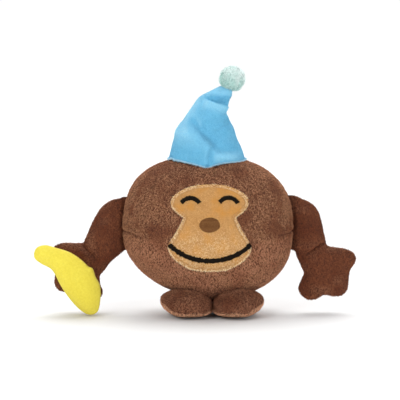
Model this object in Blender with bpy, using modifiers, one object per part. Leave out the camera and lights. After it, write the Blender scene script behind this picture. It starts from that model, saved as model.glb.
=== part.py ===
"""A standing plush monkey: cloth panels, stuffing, squeaker, hat, pompom and a banana.

Every sewn piece is an object of its own. The toy stands on its two feet and faces -Y, with +Z up, and its
own left is +X. Shapes are worked out in millimetres about the toy's middle and stored in metres.
"""

import math

import bmesh
import bpy
from mathutils import Matrix, Vector

MM = 0.001
NAME = "plush_monkey"

# The middle of the body, measured from the middle of the whole object's bounding box
MIDDLE = Vector((10.4, 1.2, 0.0))

# Cloth and clearances
GAP = 0.3
SEAM_HALF_GAP = 0.15
SEAM_EDGE = 0.45
SAME_POINT = 0.001
FILLING_EDGE = 0.06
FILLING_GAP = 0.8
# At a taper the cloth lies at a slope, so it and the filling's clearance take up more height there
TAPER_CLOTH_SHARE = 1.3
TAPER_FILLING_SHARE = 2.1
BODY_CLOTH = 1.5
LIMB_CLOTH = 1.2
PATCH_CLOTH = 1.2
THREAD = 0.8

# Body: a fuller curve above than below, and a slight lean
BODY_CENTRE = (0.0, 72.8)
BODY_HALF_WIDTH = 72.2
BODY_HALF_HEIGHT = 60.8
BODY_HALF_DEPTH = 48.0
BODY_POWER_MIDDLE = 2.3
BODY_POWER_SWING = 0.35
BODY_LEAN = 0.055

# Squeaker in the middle of the stuffing
SQUEAKER_RADIUS = 22.5
SQUEAKER_HALF_LENGTH = 10.0
SQUEAKER_WALL = 1.5
SQUEAKER_TRAVEL = 6.0
SQUEAKER_OVERLAP = 1.0
REED_PLUG_RADIUS = 5.0
REED_PLUG_LENGTH = 4.0
REED_HOLE_RADIUS = 1.6
REED_SIZE = (2.2, 5.0, 0.4)
REED_BACK = 3.0

# Face patch and embroidery, measured from the middle of the nose
FACE_X = 1.0
NOSE_Z = 80.4
FACE_OUTLINE = [
    (0.0, 33.4), (13.0, 32.2), (24.0, 28.2), (31.3, 21.5), (32.4, 15.6), (28.6, 10.9), (22.2, 6.1),
    (25.6, -1.6), (30.2, -9.3), (34.4, -17.1), (33.4, -23.0), (27.6, -30.2), (15.5, -37.2), (0.0, -38.8),
]
FACE_CORNERS = (6, 9)
FACE_MIDDLE_DROP = 4.0
FACE_STITCH_INSET = 1.7
FACE_STITCH_RADIUS = 0.25
MOUTH_CLEARANCE = 0.022
NOSE_SIZE = (8.6, 5.7)
MOUTH_HALF_WIDTH = 33.2
MOUTH_END_Z = -16.4
MOUTH_LOW_Z = -29.4
MOUTH_BAND = 3.8
BAND_CROWN = 0.25
EYE_X = 15.9
EYE_HALF_WIDTH = 7.2
EYE_END_Z = 18.6
EYE_TOP_Z = 22.8
EYE_BAND = 3.4

# Arms: outlines about the shoulder, drawn for the left arm
SHOULDER = (70.0, 78.0)
SHOULDER_LINE = ((73.6, 55.5), (72.4, 101.0))
ARM_HALF_DEPTH = 11.0
HAND_HALF_DEPTH = 9.5
ARM_FULLNESS = 3.0
HAND_FULLNESS = 2.6
UPPER_ARM_MIDDLE = (14.5, -3.0)
HAND_MIDDLE = (29.0, -43.0)
SHOULDER_TAPER = 35.0
WRIST_TAPER = 74.0
UPPER_ARM_TOP = [(9.1, 20.2), (16.4, 16.5), (21.3, 12.0), (24.6, 4.7), (27.0, -4.2), (29.4, -14.0)]
WRIST_TOP = (31.5, -20.0)
WRIST_BOTTOM = (6.2, -30.0)
HAND_OUTLINE = [
    (37.0, -21.8), (47.4, -23.3), (54.2, -27.0), (55.5, -33.0), (50.6, -40.9), (49.3, -48.9), (48.6, -57.0),
    (44.5, -61.8), (37.6, -62.6), (29.4, -61.6), (20.5, -66.0), (12.4, -64.8), (7.3, -57.5), (9.9, -49.8),
    (12.0, -44.0), (9.9, -38.4),
]
# (name, side, outward turn in degrees, length against the left arm, shift of the outline)
ARMS = (
    ("left", 1, 0.0, 1.0, (0.0, 0.0)),
    ("right", -1, 10.2, 1.032, (1.2, -3.1)),
)

# Banana in front of the right hand
BANANA_Y = -20.0
BANANA_HALF_DEPTH = 9.5
BANANA_FULLNESS = 4.0
BANANA_MIDDLE = (-112.0, 36.0)
BANANA_OUTLINE = [
    (-146.6, 53.7), (-144.2, 58.6), (-137.2, 60.4), (-128.2, 58.0), (-116.4, 54.0), (-106.8, 47.6),
    (-101.2, 42.2), (-97.4, 40.4), (-95.1, 33.5), (-91.3, 25.9), (-91.0, 14.7), (-93.1, 4.6), (-99.8, 1.7),
    (-107.3, 6.2), (-115.8, 16.9), (-123.9, 28.1), (-131.3, 39.8), (-139.9, 44.7), (-145.6, 49.0),
]
BANANA_TACK = (-108.0, 40.0)

# Feet: an oval pillow each, under the front of the body
FOOT_SEAM_Z = 11.5
FOOT_SIZE = (21.9, 30.0)
FOOT_CENTRES = (("left", 25.6), ("right", -19.6))
FOOT_Y = -16.0
FOOT_RISE = 13.5
FOOT_ROUND = 18.0
FOOT_UNDER_BODY = 0.8
FOOT_FILLING_SHARE = 1.6
ANKLE = (12.5, 15.0)

# Hat: (left point, right point, half depth) up the cone, then the same for the folded tip
HAT_RIM = (-1.7, 32.0, 22.0)
HAT_CLOTH = 1.2
HAT_SIDES = 24
HAT_ABOVE_HEAD = 0.5
HAT_CONE = [
    ((-32.0, 138.7), (30.3, 133.4), 22.0), ((-29.9, 148.5), (28.1, 140.9), 20.5),
    ((-27.2, 158.3), (24.3, 150.7), 18.5), ((-20.7, 166.9), (20.6, 159.4), 16.0),
    ((-14.2, 176.7), (16.7, 166.9), 13.0), ((-7.7, 185.0), (16.0, 175.2), 10.5),
]
HAT_FOLD = (16.2, 176.4)
HAT_TIP = [
    ((-5.8, 184.9), (14.0, 176.8), 8.6), ((1.4, 190.0), (17.9, 182.6), 7.6),
    ((7.4, 192.9), (19.6, 187.0), 6.2), ((12.6, 194.0), (19.6, 190.0), 3.6),
]
POMPOM_CENTRE = (21.5, 200.1)
POMPOM_RADIUS = 8.8
POMPOM_REACH = 10.5
TIE_RADIUS = 1.0
TIE_LENGTH = 0.35
TIE_OFF_TIP = 0.35
TACK_STITCH_SIZE = (3.0, 0.5, 2.4)
TACK_STITCH_OUT = 0.8
TACK_STITCH_UP = 1.9

# Blank care label sewn to the middle of the back
LABEL_SIZE = (24.0, 14.0, 0.5)
LABEL_TOP_Z = 52.0
LABEL_X = 8.0
LABEL_OFF_BODY = 0.6


def clear_scene():
    for obj in list(bpy.data.objects):
        bpy.data.objects.remove(obj, do_unlink=True)


def new_material(name, colour, roughness):
    material = bpy.data.materials.new(name)
    material.use_nodes = True
    shader = material.node_tree.nodes["Principled BSDF"]
    shader.inputs["Base Color"].default_value = (*colour, 1.0)
    shader.inputs["Roughness"].default_value = roughness
    material.diffuse_color = (*colour, 1.0)
    return material


def new_pivot(name, point, parent):
    """An empty on a joint's axis. The point is in millimetres about the toy's middle."""
    pivot = bpy.data.objects.new(name, None)
    pivot.empty_display_size = 5 * MM
    bpy.data.collections[NAME].objects.link(pivot)
    pivot["toy_point"] = tuple(point)
    pivot.parent = parent
    base = Vector(parent["toy_point"]) if parent else -MIDDLE
    pivot.location = (Vector(point) - base) * MM
    return pivot


def add_piece(name, bm, pivot, look):
    """Store a mesh drawn in millimetres about the toy's middle, with its origin on the pivot."""
    bmesh.ops.translate(bm, verts=bm.verts, vec=-Vector(pivot["toy_point"]))
    bmesh.ops.scale(bm, verts=bm.verts, vec=(MM, MM, MM))
    bmesh.ops.recalc_face_normals(bm, faces=bm.faces)
    mesh = bpy.data.meshes.new(name)
    bm.to_mesh(mesh)
    bm.free()
    colour, roughness = LOOKS[look]
    mesh.materials.append(new_material(name, colour, roughness))
    piece = bpy.data.objects.new(name, mesh)
    bpy.data.collections[NAME].objects.link(piece)
    piece.parent = pivot
    return piece


LOOKS = {
    "plush": ((0.19, 0.085, 0.048), 0.95),
    "stuffing": ((0.86, 0.85, 0.82), 1.0),
    "patch": ((0.68, 0.40, 0.14), 0.9),
    "black_thread": ((0.012, 0.010, 0.009), 0.6),
    "tan_thread": ((0.72, 0.47, 0.20), 0.7),
    "nose_thread": ((0.19, 0.095, 0.035), 0.6),
    "fleece": ((0.14, 0.50, 0.82), 0.9),
    "mint": ((0.56, 0.82, 0.74), 1.0),
    "yellow": ((0.86, 0.76, 0.08), 0.9),
    "plastic": ((0.80, 0.80, 0.78), 0.35),
    "label": ((0.88, 0.88, 0.86), 0.6),
}


class Outline:
    """A closed curve through a few points. It runs straight between two corners."""

    STEPS = 10

    def __init__(self, centre, points, corners=()):
        self.centre = Vector(centre)
        points = [Vector(point) for point in points]
        count = len(points)
        self.line = []
        for i in range(count):
            before, start, end, after = (points[(i + k) % count] for k in (-1, 0, 1, 2))
            leave = Vector((0, 0)) if i in corners else (end - before) / 2
            arrive = Vector((0, 0)) if (i + 1) % count in corners else (after - start) / 2
            for step in range(self.STEPS):
                t = step / self.STEPS
                self.line.append(
                    start * (2 * t**3 - 3 * t**2 + 1)
                    + leave * (t**3 - 2 * t**2 + t)
                    + end * (3 * t**2 - 2 * t**3)
                    + arrive * (t**3 - t**2)
                )
        self.line.append(self.line[0])
        self.along = [0.0]
        for start, end in zip(self.line, self.line[1:]):
            self.along.append(self.along[-1] + (end - start).length)

    def ray(self, turn, inset):
        """From the centre to the curve, a share of the way round it, and short of it by the inset."""
        target = (turn % 1.0) * self.along[-1]
        i = 0
        while self.along[i + 1] < target:
            i += 1
        share = (target - self.along[i]) / (self.along[i + 1] - self.along[i])
        ray = self.line[i].lerp(self.line[i + 1], share) - self.centre
        return ray * (1 - inset / ray.length)


class Oval:
    """A plain ellipse."""

    def __init__(self, centre, half_sizes):
        self.centre = Vector(centre)
        self.half_sizes = half_sizes

    def ray(self, turn, inset):
        angle = 2 * math.pi * turn
        width, height = self.half_sizes
        return Vector(((width - inset) * math.cos(angle), (height - inset) * math.sin(angle)))


def body_power(angle):
    return BODY_POWER_MIDDLE + BODY_POWER_SWING * math.sin(angle)


def body_radius(angle):
    power = body_power(angle)
    across = abs(math.cos(angle) / BODY_HALF_WIDTH) ** power
    up = abs(math.sin(angle) / BODY_HALF_HEIGHT) ** power
    return (across + up) ** (-1 / power)


def body_lean(height):
    """How far the body leans sideways at a height above its middle."""
    return -BODY_LEAN * height * abs(height) / BODY_HALF_HEIGHT


class BodyOutline:
    """The body's outline from the front."""

    centre = Vector(BODY_CENTRE)

    def ray(self, turn, inset):
        angle = 2 * math.pi * turn
        radius = body_radius(angle) - inset
        height = radius * math.sin(angle)
        return Vector((radius * math.cos(angle) + body_lean(height), height))


def body_depth(x, z):
    """The body's half depth at a point of the front view, or 0 outside its outline."""
    height = z - BODY_CENTRE[1]
    across = x - BODY_CENTRE[0] - body_lean(height)
    share = math.hypot(across, height) / body_radius(math.atan2(height, across))
    return BODY_HALF_DEPTH * math.sqrt(max(0.0, 1 - share * share))


def body_surface_z(x, y, direction):
    """The height of the body's top (direction 1) or underside (direction -1) above a point of the plan."""
    low, high = 0.0, BODY_HALF_HEIGHT
    for _ in range(30):
        middle = (low + high) / 2
        if body_depth(x, BODY_CENTRE[1] + direction * middle) > abs(y):
            low = middle
        else:
            high = middle
    return BODY_CENTRE[1] + direction * low


def upright(across, up, out):
    """Front view: out is how far a point stands from the seam, towards the front."""
    return Vector((across, -out, up))


def mapped_sphere(outline, height, axes, meridians, rings, inset=0.0):
    """A UV sphere with its equator laid on the outline. height(point, share) is the distance from the seam,
    with share 0 in the middle and 1 on the outline."""
    bm = bmesh.new()
    bmesh.ops.create_uvsphere(bm, u_segments=meridians, v_segments=rings, radius=1.0)
    for vert in bm.verts:
        share = math.hypot(vert.co.x, vert.co.y)
        turn = math.atan2(vert.co.y, vert.co.x) / (2 * math.pi)
        point = outline.centre + outline.ray(turn, inset) * share
        side = 1 if vert.co.z >= 0 else -1
        out = 0.0 if abs(vert.co.z) < 1e-6 else side * height(point, share)
        vert.co = axes(point.x, point.y, out)
    return bm


def sheet(outline, height, axes, meridians, rings, inset=0.0, side=1):
    """Half a mapped sphere: the open sheet on one side of the seam."""
    bm = bmesh.new()
    bmesh.ops.create_uvsphere(bm, u_segments=meridians, v_segments=2 * rings, radius=1.0)
    far = [vert for vert in bm.verts if vert.co.z < -1e-6]
    bmesh.ops.delete(bm, geom=far, context="VERTS")
    for vert in bm.verts:
        share = math.hypot(vert.co.x, vert.co.y)
        turn = math.atan2(vert.co.y, vert.co.x) / (2 * math.pi)
        point = outline.centre + outline.ray(turn, inset) * share
        vert.co = axes(point.x, point.y, side * height(point, share))
    return bm


def put_together(first, second):
    """Two meshes in one, with nothing joined."""
    scratch = bpy.data.meshes.new("scratch")
    second.to_mesh(scratch)
    second.free()
    first.from_mesh(scratch)
    bpy.data.meshes.remove(scratch)
    return first


def join_sheets(outer, inner):
    """One closed shell from an outer and an inner sheet with equal rims."""
    shell = put_together(outer, inner)
    rims = [edge for edge in shell.edges if edge.is_boundary]
    bmesh.ops.bridge_loops(shell, edges=rims)
    return shell


def dome(depth, power=2.0):
    """A pillow's height from its seam: full in the middle and steep at the outline."""

    def height(_, share):
        return depth * math.sqrt(max(0.0, 1 - share**power))

    return height


def no_limit(_):
    return math.inf


def add_panel(name, outline, height, cloth, pivot, look, side, axes=upright, detail=(24, 4), limit=no_limit):
    """A cloth panel on one side of the seam. limit(point) caps the height of the cloth's outside."""

    def outside(point, share):
        return max(SEAM_EDGE, min(height(point, share), limit(point)))

    def inside(point, share):
        deepest = min(height(point, share) - cloth, limit(point) - TAPER_CLOTH_SHARE * cloth)
        return max(SEAM_HALF_GAP, deepest)

    outer = sheet(outline, outside, axes, *detail, side=side)
    inner = sheet(outline, inside, axes, *detail, inset=cloth, side=side)
    return add_piece(name, join_sheets(outer, inner), pivot, look)


def add_filling(name, outline, height, cloth, pivot, axes=upright, detail=(24, 8), limit=no_limit):
    """The stuffing inside two panels."""
    space = cloth + FILLING_GAP

    def surface(point, share):
        deepest = min(height(point, share) - space, limit(point) - TAPER_FILLING_SHARE * space)
        return max(FILLING_EDGE, deepest)

    bm = mapped_sphere(outline, surface, axes, *detail, inset=space + GAP)
    return add_piece(name, bm, pivot, "stuffing")


def block(size, centre):
    bm = bmesh.new()
    bmesh.ops.create_cube(bm, size=1.0)
    bmesh.ops.scale(bm, verts=bm.verts, vec=size)
    bmesh.ops.translate(bm, verts=bm.verts, vec=centre)
    return bm


def line_distance(line, point):
    start, end = Vector(line[0]), Vector(line[1])
    along = (end - start).normalized()
    away = point - start
    return abs(along.x * away.y - along.y * away.x)


def build_body(root):
    outline = BodyOutline()
    height = dome(BODY_HALF_DEPTH)
    for side, name in ((1, "front"), (-1, "back")):
        add_panel(f"body_{name}_panel", outline, height, BODY_CLOTH, root, "plush", side, detail=(32, 6))
        add_body_filling(name, side, outline, height, root)


def add_body_filling(name, side, outline, height, root):
    """Half of the stuffing, with half of the squeaker's pocket cut into its flat side."""
    space = BODY_CLOTH + GAP

    def rounded(point, share):
        return max(GAP, height(point, share) - space)

    def level(*_):
        return SEAM_HALF_GAP

    round_side = sheet(outline, rounded, upright, 32, 6, space + GAP, side)
    flat_side = sheet(outline, level, upright, 32, 6, space + GAP, side)
    piece = add_piece(f"body_stuffing_{name}", join_sheets(round_side, flat_side), root, "stuffing")
    pocket = bmesh.new()
    bmesh.ops.create_cone(
        pocket, cap_ends=True, segments=32, radius1=SQUEAKER_RADIUS + 2 * GAP,
        radius2=SQUEAKER_RADIUS + 2 * GAP, depth=2 * SQUEAKER_HALF_LENGTH + 6 * GAP,
        matrix=Matrix.Rotation(math.pi / 2, 4, "X"),
    )
    cutter = add_cutter(f"squeaker_pocket_{name}", pocket, (BODY_CENTRE[0], 0.0, BODY_CENTRE[1]), root)
    cut = piece.modifiers.new("pocket", "BOOLEAN")
    cut.operation = "DIFFERENCE"
    cut.solver = "EXACT"
    cut.object = cutter


def add_cutter(name, bm, centre, pivot):
    bmesh.ops.translate(bm, verts=bm.verts, vec=Vector(centre) - Vector(pivot["toy_point"]))
    bmesh.ops.scale(bm, verts=bm.verts, vec=(MM, MM, MM))
    bmesh.ops.recalc_face_normals(bm, faces=bm.faces)
    mesh = bpy.data.meshes.new(name)
    bm.to_mesh(mesh)
    bm.free()
    cutter = bpy.data.objects.new(name, mesh)
    bpy.data.collections["cutters"].objects.link(cutter)
    cutter.parent = pivot
    cutter.hide_render = True
    cutter.display_type = "WIRE"
    return cutter


def add_turned(name, profile, pivot, look, steps=32):
    """A profile of (radius, distance along +Y) turned about the squeaker's axis, as one Screw."""
    mesh = bpy.data.meshes.new(name)
    points = [(radius * MM, along * MM, 0.0) for radius, along in profile]
    mesh.from_pydata(points, [(i, i + 1) for i in range(len(points) - 1)], [])
    colour, roughness = LOOKS[look]
    mesh.materials.append(new_material(name, colour, roughness))
    piece = bpy.data.objects.new(name, mesh)
    bpy.data.collections[NAME].objects.link(piece)
    piece.parent = pivot
    turn = piece.modifiers.new("turn", "SCREW")
    turn.axis = "Y"
    turn.steps = steps
    turn.render_steps = steps
    turn.use_merge_vertices = True
    turn.merge_threshold = 0.00005
    turn.use_normal_calculate = True
    turn.use_normal_flip = True
    return piece


def build_squeaker(root):
    """Two cups that slide into each other, with the reed in its plug at the back."""
    middle = (BODY_CENTRE[0], 0.0, BODY_CENTRE[1])
    fixed = new_pivot("squeaker_mount", middle, root)
    moving = new_pivot("squeaker_press", middle, root)
    length, wall = SQUEAKER_HALF_LENGTH, SQUEAKER_WALL
    inner_radius = SQUEAKER_RADIUS - wall
    plug_hole = REED_PLUG_RADIUS + GAP
    front_edge = -length + wall + SQUEAKER_OVERLAP
    add_turned("squeaker_bulb_back", [
        (plug_hole, length), (SQUEAKER_RADIUS, length), (SQUEAKER_RADIUS, front_edge),
        (inner_radius, front_edge), (inner_radius, length - wall), (plug_hole, length - wall),
        (plug_hole, length),
    ], fixed, "plastic")
    sleeve = inner_radius - GAP
    end = length - wall - SQUEAKER_TRAVEL - SQUEAKER_OVERLAP
    add_turned("squeaker_bulb_front", [
        (0.0, -length), (sleeve, -length), (sleeve, end), (sleeve - wall, end), (sleeve - wall, -length + wall),
        (0.0, -length + wall),
    ], moving, "plastic")
    inner_end = length - REED_PLUG_LENGTH
    add_turned("squeaker_reed_plug", [
        (REED_HOLE_RADIUS, length), (REED_PLUG_RADIUS, length), (REED_PLUG_RADIUS, inner_end),
        (REED_HOLE_RADIUS, inner_end), (REED_HOLE_RADIUS, length),
    ], fixed, "plastic", steps=24)
    reed = block(REED_SIZE, Vector(middle) + Vector((0, length - REED_BACK, 0)))
    add_piece("squeaker_reed", reed, fixed, "plastic")


def off_body(lift):
    """A height that stays this far off the body."""

    def height(point, _):
        return body_depth(point.x, point.y) + lift

    return height


def build_face(root):
    right_half = FACE_OUTLINE[-2:0:-1]
    points = [(FACE_X + x, NOSE_Z + z) for x, z in FACE_OUTLINE]
    points += [(FACE_X - x, NOSE_Z + z) for x, z in right_half]
    count = len(points)
    corners = [*FACE_CORNERS, *(count - corner for corner in FACE_CORNERS)]
    outline = Outline((FACE_X, NOSE_Z - FACE_MIDDLE_DROP), points, corners)
    patch_top = GAP + PATCH_CLOTH
    over, under = (sheet(outline, off_body(lift), upright, 48, 4) for lift in (patch_top, GAP))
    add_piece("face_patch", join_sheets(over, under), root, "patch")
    nose = Oval((FACE_X, NOSE_Z), NOSE_SIZE)
    thread_foot = patch_top + GAP
    over, under = (sheet(nose, off_body(lift), upright, 16, 3) for lift in (thread_foot + THREAD, thread_foot))
    add_piece("nose_embroidery", join_sheets(over, under), root, "nose_thread")
    mouth = arc_points(FACE_X, MOUTH_HALF_WIDTH, NOSE_Z + MOUTH_END_Z, NOSE_Z + MOUTH_LOW_Z, 20)
    add_band("mouth_embroidery", mouth, MOUTH_BAND, thread_foot, root)
    for name, side in (("left", 1), ("right", -1)):
        brow = arc_points(FACE_X + side * EYE_X, EYE_HALF_WIDTH, NOSE_Z + EYE_END_Z, NOSE_Z + EYE_TOP_Z, 8)
        add_band(f"eye_embroidery_{name}", brow, EYE_BAND, thread_foot, root)
    mouth_corner = outline.along[FACE_CORNERS[1] * Outline.STEPS] / outline.along[-1]
    reach = mouth_corner - MOUTH_CLEARANCE
    add_stitch_line("face_stitching_upper", outline, -reach, reach, root)
    add_stitch_line("face_stitching_chin", outline, mouth_corner + MOUTH_CLEARANCE,
                    1 - mouth_corner - MOUTH_CLEARANCE, root)


def arc_points(middle_x, half_width, end_z, middle_z, steps):
    """Points along the arc of a circle through two level ends and a middle."""
    rise = middle_z - end_z
    radius = (half_width**2 + rise**2) / (2 * abs(rise))
    direction = math.copysign(1, rise)
    reach = math.asin(half_width / radius)
    points = []
    for i in range(steps + 1):
        angle = reach * (2 * i / steps - 1)
        drop = radius * (1 - math.cos(angle))
        points.append(Vector((middle_x + radius * math.sin(angle), middle_z - direction * drop)))
    return points


def add_band(name, points, width, lift, root):
    """A satin-stitched band along a line on the face, lying on the curve of the body."""
    bm = bmesh.new()
    rows = []
    for i, point in enumerate(points):
        before, after = points[max(i - 1, 0)], points[min(i + 1, len(points) - 1)]
        along = (after - before).normalized()
        across = Vector((-along.y, along.x)) * width / 2
        row = []
        for out in (0.0, THREAD):
            for share in (-1, 0, 1):
                spot = point + across * share
                crown = BAND_CROWN * (1 - abs(share)) if out else 0.0
                height = body_depth(spot.x, spot.y) + lift + out + crown
                row.append(bm.verts.new(upright(spot.x, spot.y, height)))
        rows.append([row[i] for i in (0, 1, 2, 5, 4, 3)])
    for row, following in zip(rows, rows[1:]):
        for i in range(6):
            bm.faces.new((row[i], row[(i + 1) % 6], following[(i + 1) % 6], following[i]))
    bm.faces.new(rows[0])
    bm.faces.new(rows[-1])
    add_piece(name, bm, root, "black_thread")


def add_stitch_line(name, outline, start, end, root):
    """Thread that holds the face patch down, as a tube inside its edge between two shares of the way round."""
    curve = bpy.data.curves.new(name, "CURVE")
    curve.dimensions = "3D"
    curve.bevel_depth = FACE_STITCH_RADIUS * MM
    curve.bevel_resolution = 0
    curve.resolution_u = 1
    curve.use_fill_caps = True
    steps = round(80 * (end - start))
    line = curve.splines.new("POLY")
    line.points.add(steps)
    for i, point in enumerate(line.points):
        turn = start + (end - start) * i / steps
        spot = outline.centre + outline.ray(turn, FACE_STITCH_INSET)
        height = body_depth(spot.x, spot.y) + PATCH_CLOTH + 2 * GAP + FACE_STITCH_RADIUS
        point.co = (*(upright(spot.x, spot.y, height) * MM), 1.0)
    piece = bpy.data.objects.new(name, curve)
    bpy.data.collections[NAME].objects.link(piece)
    piece.parent = root
    colour, roughness = LOOKS["tan_thread"]
    curve.materials.append(new_material(name, colour, roughness))


def arm_point(arm, point):
    """A point of the left arm's drawing, placed on either arm."""
    _, side, turn, stretch, shift = arm
    turned = Matrix.Rotation(math.radians(turn), 2) @ Vector(point) * stretch + Vector(shift)
    return Vector((side * (SHOULDER[0] + turned.x), SHOULDER[1] + turned.y))


def build_arm(arm, root):
    name, side = arm[0], arm[1]
    shoulder_low, shoulder_high = (Vector((side * x, z)) for x, z in SHOULDER_LINE)
    wrist_high, wrist_low = arm_point(arm, WRIST_TOP), arm_point(arm, WRIST_BOTTOM)
    wrist = (wrist_low, wrist_high)
    along = (wrist_high - wrist_low).normalized()
    towards_hand = Vector((along.y, -along.x)) * side
    apart = towards_hand * GAP
    shoulder_middle = (shoulder_low + shoulder_high) / 2
    wrist_middle = (wrist_low + wrist_high) / 2
    shoulder_pivot = new_pivot(f"shoulder_{name}", (shoulder_middle.x, 0, shoulder_middle.y), root)
    wrist_pivot = new_pivot(f"wrist_{name}", (wrist_middle.x, 0, wrist_middle.y), shoulder_pivot)

    arm_points = [shoulder_high, *(arm_point(arm, p) for p in UPPER_ARM_TOP), wrist_high - apart,
                  wrist_low - apart, shoulder_low]
    last = len(arm_points) - 1
    upper_arm = Outline(arm_point(arm, UPPER_ARM_MIDDLE), arm_points, corners=(0, last - 2, last - 1, last))
    hand_points = [wrist_high + apart, *(arm_point(arm, p) for p in HAND_OUTLINE), wrist_low + apart]
    hand = Outline(arm_point(arm, HAND_MIDDLE), hand_points, corners=(0, len(hand_points) - 1))

    def arm_limit(point):
        from_shoulder = line_distance((shoulder_low, shoulder_high), point)
        from_wrist = line_distance(wrist, point)
        at_shoulder = from_shoulder * math.tan(math.radians(SHOULDER_TAPER))
        return min(at_shoulder, from_wrist * math.tan(math.radians(WRIST_TAPER)))

    def hand_limit(point):
        return line_distance(wrist, point) * math.tan(math.radians(WRIST_TAPER))

    arm_height = dome(ARM_HALF_DEPTH, ARM_FULLNESS)
    hand_height = dome(HAND_HALF_DEPTH, HAND_FULLNESS)
    for face, out in (("front", 1), ("back", -1)):
        add_panel(f"upper_arm_{name}_{face}", upper_arm, arm_height, LIMB_CLOTH, shoulder_pivot, "plush",
                  out, limit=arm_limit)
        add_panel(f"hand_{name}_{face}", hand, hand_height, LIMB_CLOTH, wrist_pivot, "plush", out,
                  detail=(32, 4), limit=hand_limit)
    add_filling(f"upper_arm_{name}_stuffing", upper_arm, arm_height, LIMB_CLOTH, shoulder_pivot,
                limit=arm_limit)
    add_filling(f"hand_{name}_stuffing", hand, hand_height, LIMB_CLOTH, wrist_pivot, detail=(32, 8),
                limit=hand_limit)
    return wrist_pivot


def build_banana(hand_pivot):
    tack = new_pivot("banana_swivel", (BANANA_TACK[0], BANANA_Y, BANANA_TACK[1]), hand_pivot)
    outline = Outline(BANANA_MIDDLE, BANANA_OUTLINE)
    height = dome(BANANA_HALF_DEPTH, BANANA_FULLNESS)

    def out_of_hand(across, up, out):
        return upright(across, up, out - BANANA_Y)

    for face, out in (("front", 1), ("back", -1)):
        add_panel(f"banana_{face}", outline, height, LIMB_CLOTH, tack, "yellow", out, axes=out_of_hand,
                  detail=(32, 4))
    add_filling("banana_stuffing", outline, height, LIMB_CLOTH, tack, axes=out_of_hand, detail=(32, 8))


def build_foot(name, x, root):
    pivot = new_pivot(f"ankle_{name}", (x, *ANKLE), root)
    outline = Oval((x, FOOT_Y), FOOT_SIZE)
    top = dome(FOOT_RISE)
    bottom = dome(FOOT_ROUND)

    def raised(across, along, out):
        return Vector((across, along, FOOT_SEAM_Z + out))

    def under_body(point):
        return body_surface_z(point.x, point.y, -1) - FOOT_UNDER_BODY - FOOT_SEAM_Z

    def on_floor(_):
        return FOOT_SEAM_Z

    add_panel(f"foot_{name}_upper", outline, top, LIMB_CLOTH, pivot, "plush", 1, axes=raised, limit=under_body)
    add_panel(f"foot_{name}_sole", outline, bottom, LIMB_CLOTH, pivot, "plush", -1, axes=raised, limit=on_floor)
    space = LIMB_CLOTH + GAP

    def filling_top(point, share):
        return max(0.0, min(top(point, share) - space, under_body(point) - FOOT_FILLING_SHARE * space))

    def filling_bottom(point, share):
        return max(0.0, min(bottom(point, share) - space, FOOT_SEAM_Z - FOOT_FILLING_SHARE * space))

    upper = sheet(outline, filling_top, raised, 24, 4, space + GAP)
    lower = sheet(outline, filling_bottom, raised, 24, 4, space + GAP, side=-1)
    filling = put_together(upper, lower)
    bmesh.ops.remove_doubles(filling, verts=filling.verts, dist=SAME_POINT)
    add_piece(f"foot_{name}_stuffing", filling, pivot, "stuffing")


def loft(rings, closed_end):
    """Quads between rings of equal length, given round a closed path, or with a cap at each end."""
    bm = bmesh.new()
    rows = [[bm.verts.new(point) for point in ring] for ring in rings]
    pairs = list(zip(rows, rows[1:]))
    if not closed_end:
        pairs.append((rows[-1], rows[0]))
    for row, following in pairs:
        for i in range(len(row)):
            j = (i + 1) % len(row)
            bm.faces.new((row[i], row[j], following[j], following[i]))
    if closed_end:
        bm.faces.new(rows[0])
        bm.faces.new(rows[-1])
    return bm


def hat_ring(station, inset=0.0):
    left, right, half_depth = station
    middle = (Vector(left) + Vector(right)) / 2
    reach = (Vector(right) - Vector(left)) / 2
    reach *= 1 - inset / reach.length
    ring = []
    for i in range(HAT_SIDES):
        angle = 2 * math.pi * i / HAT_SIDES
        spot = middle + reach * math.cos(angle)
        ring.append(Vector((spot.x, (half_depth - inset) * math.sin(angle), spot.y)))
    return ring


def rim_ring(inset=0.0):
    middle_x, half_width, half_depth = HAT_RIM
    ring = []
    for i in range(HAT_SIDES):
        angle = 2 * math.pi * i / HAT_SIDES
        x = middle_x + (half_width - inset) * math.cos(angle)
        y = (half_depth - inset) * math.sin(angle)
        ring.append(Vector((x, y, body_surface_z(x, y, 1) + HAT_ABOVE_HEAD)))
    return ring


def build_hat(root):
    outside = [rim_ring()] + [hat_ring(station) for station in HAT_CONE]
    inside = [rim_ring(HAT_CLOTH)] + [hat_ring(station, HAT_CLOTH) for station in HAT_CONE]
    add_piece("hat_cone_lower", loft(outside + inside[::-1], False), root, "fleece")
    fold = new_pivot("hat_fold", (HAT_FOLD[0], 0, HAT_FOLD[1]), root)
    outside = [hat_ring(station) for station in HAT_TIP]
    inside = [hat_ring(station, HAT_CLOTH) for station in HAT_TIP[:-1]]
    rings = inside[::-1] + outside
    add_piece("hat_cone_tip", loft(rings, True), fold, "fleece")
    build_tack(root)
    build_pompom(fold)


def build_tack(root):
    """The bar of stitches that holds the front of the hat's rim to the head."""
    x = HAT_RIM[0]
    y = -HAT_RIM[2] - TACK_STITCH_OUT
    bar = block(TACK_STITCH_SIZE, (x, y, body_surface_z(x, y, 1) + TACK_STITCH_UP))
    add_piece("hat_tack_stitch", bar, root, "fleece")


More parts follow.
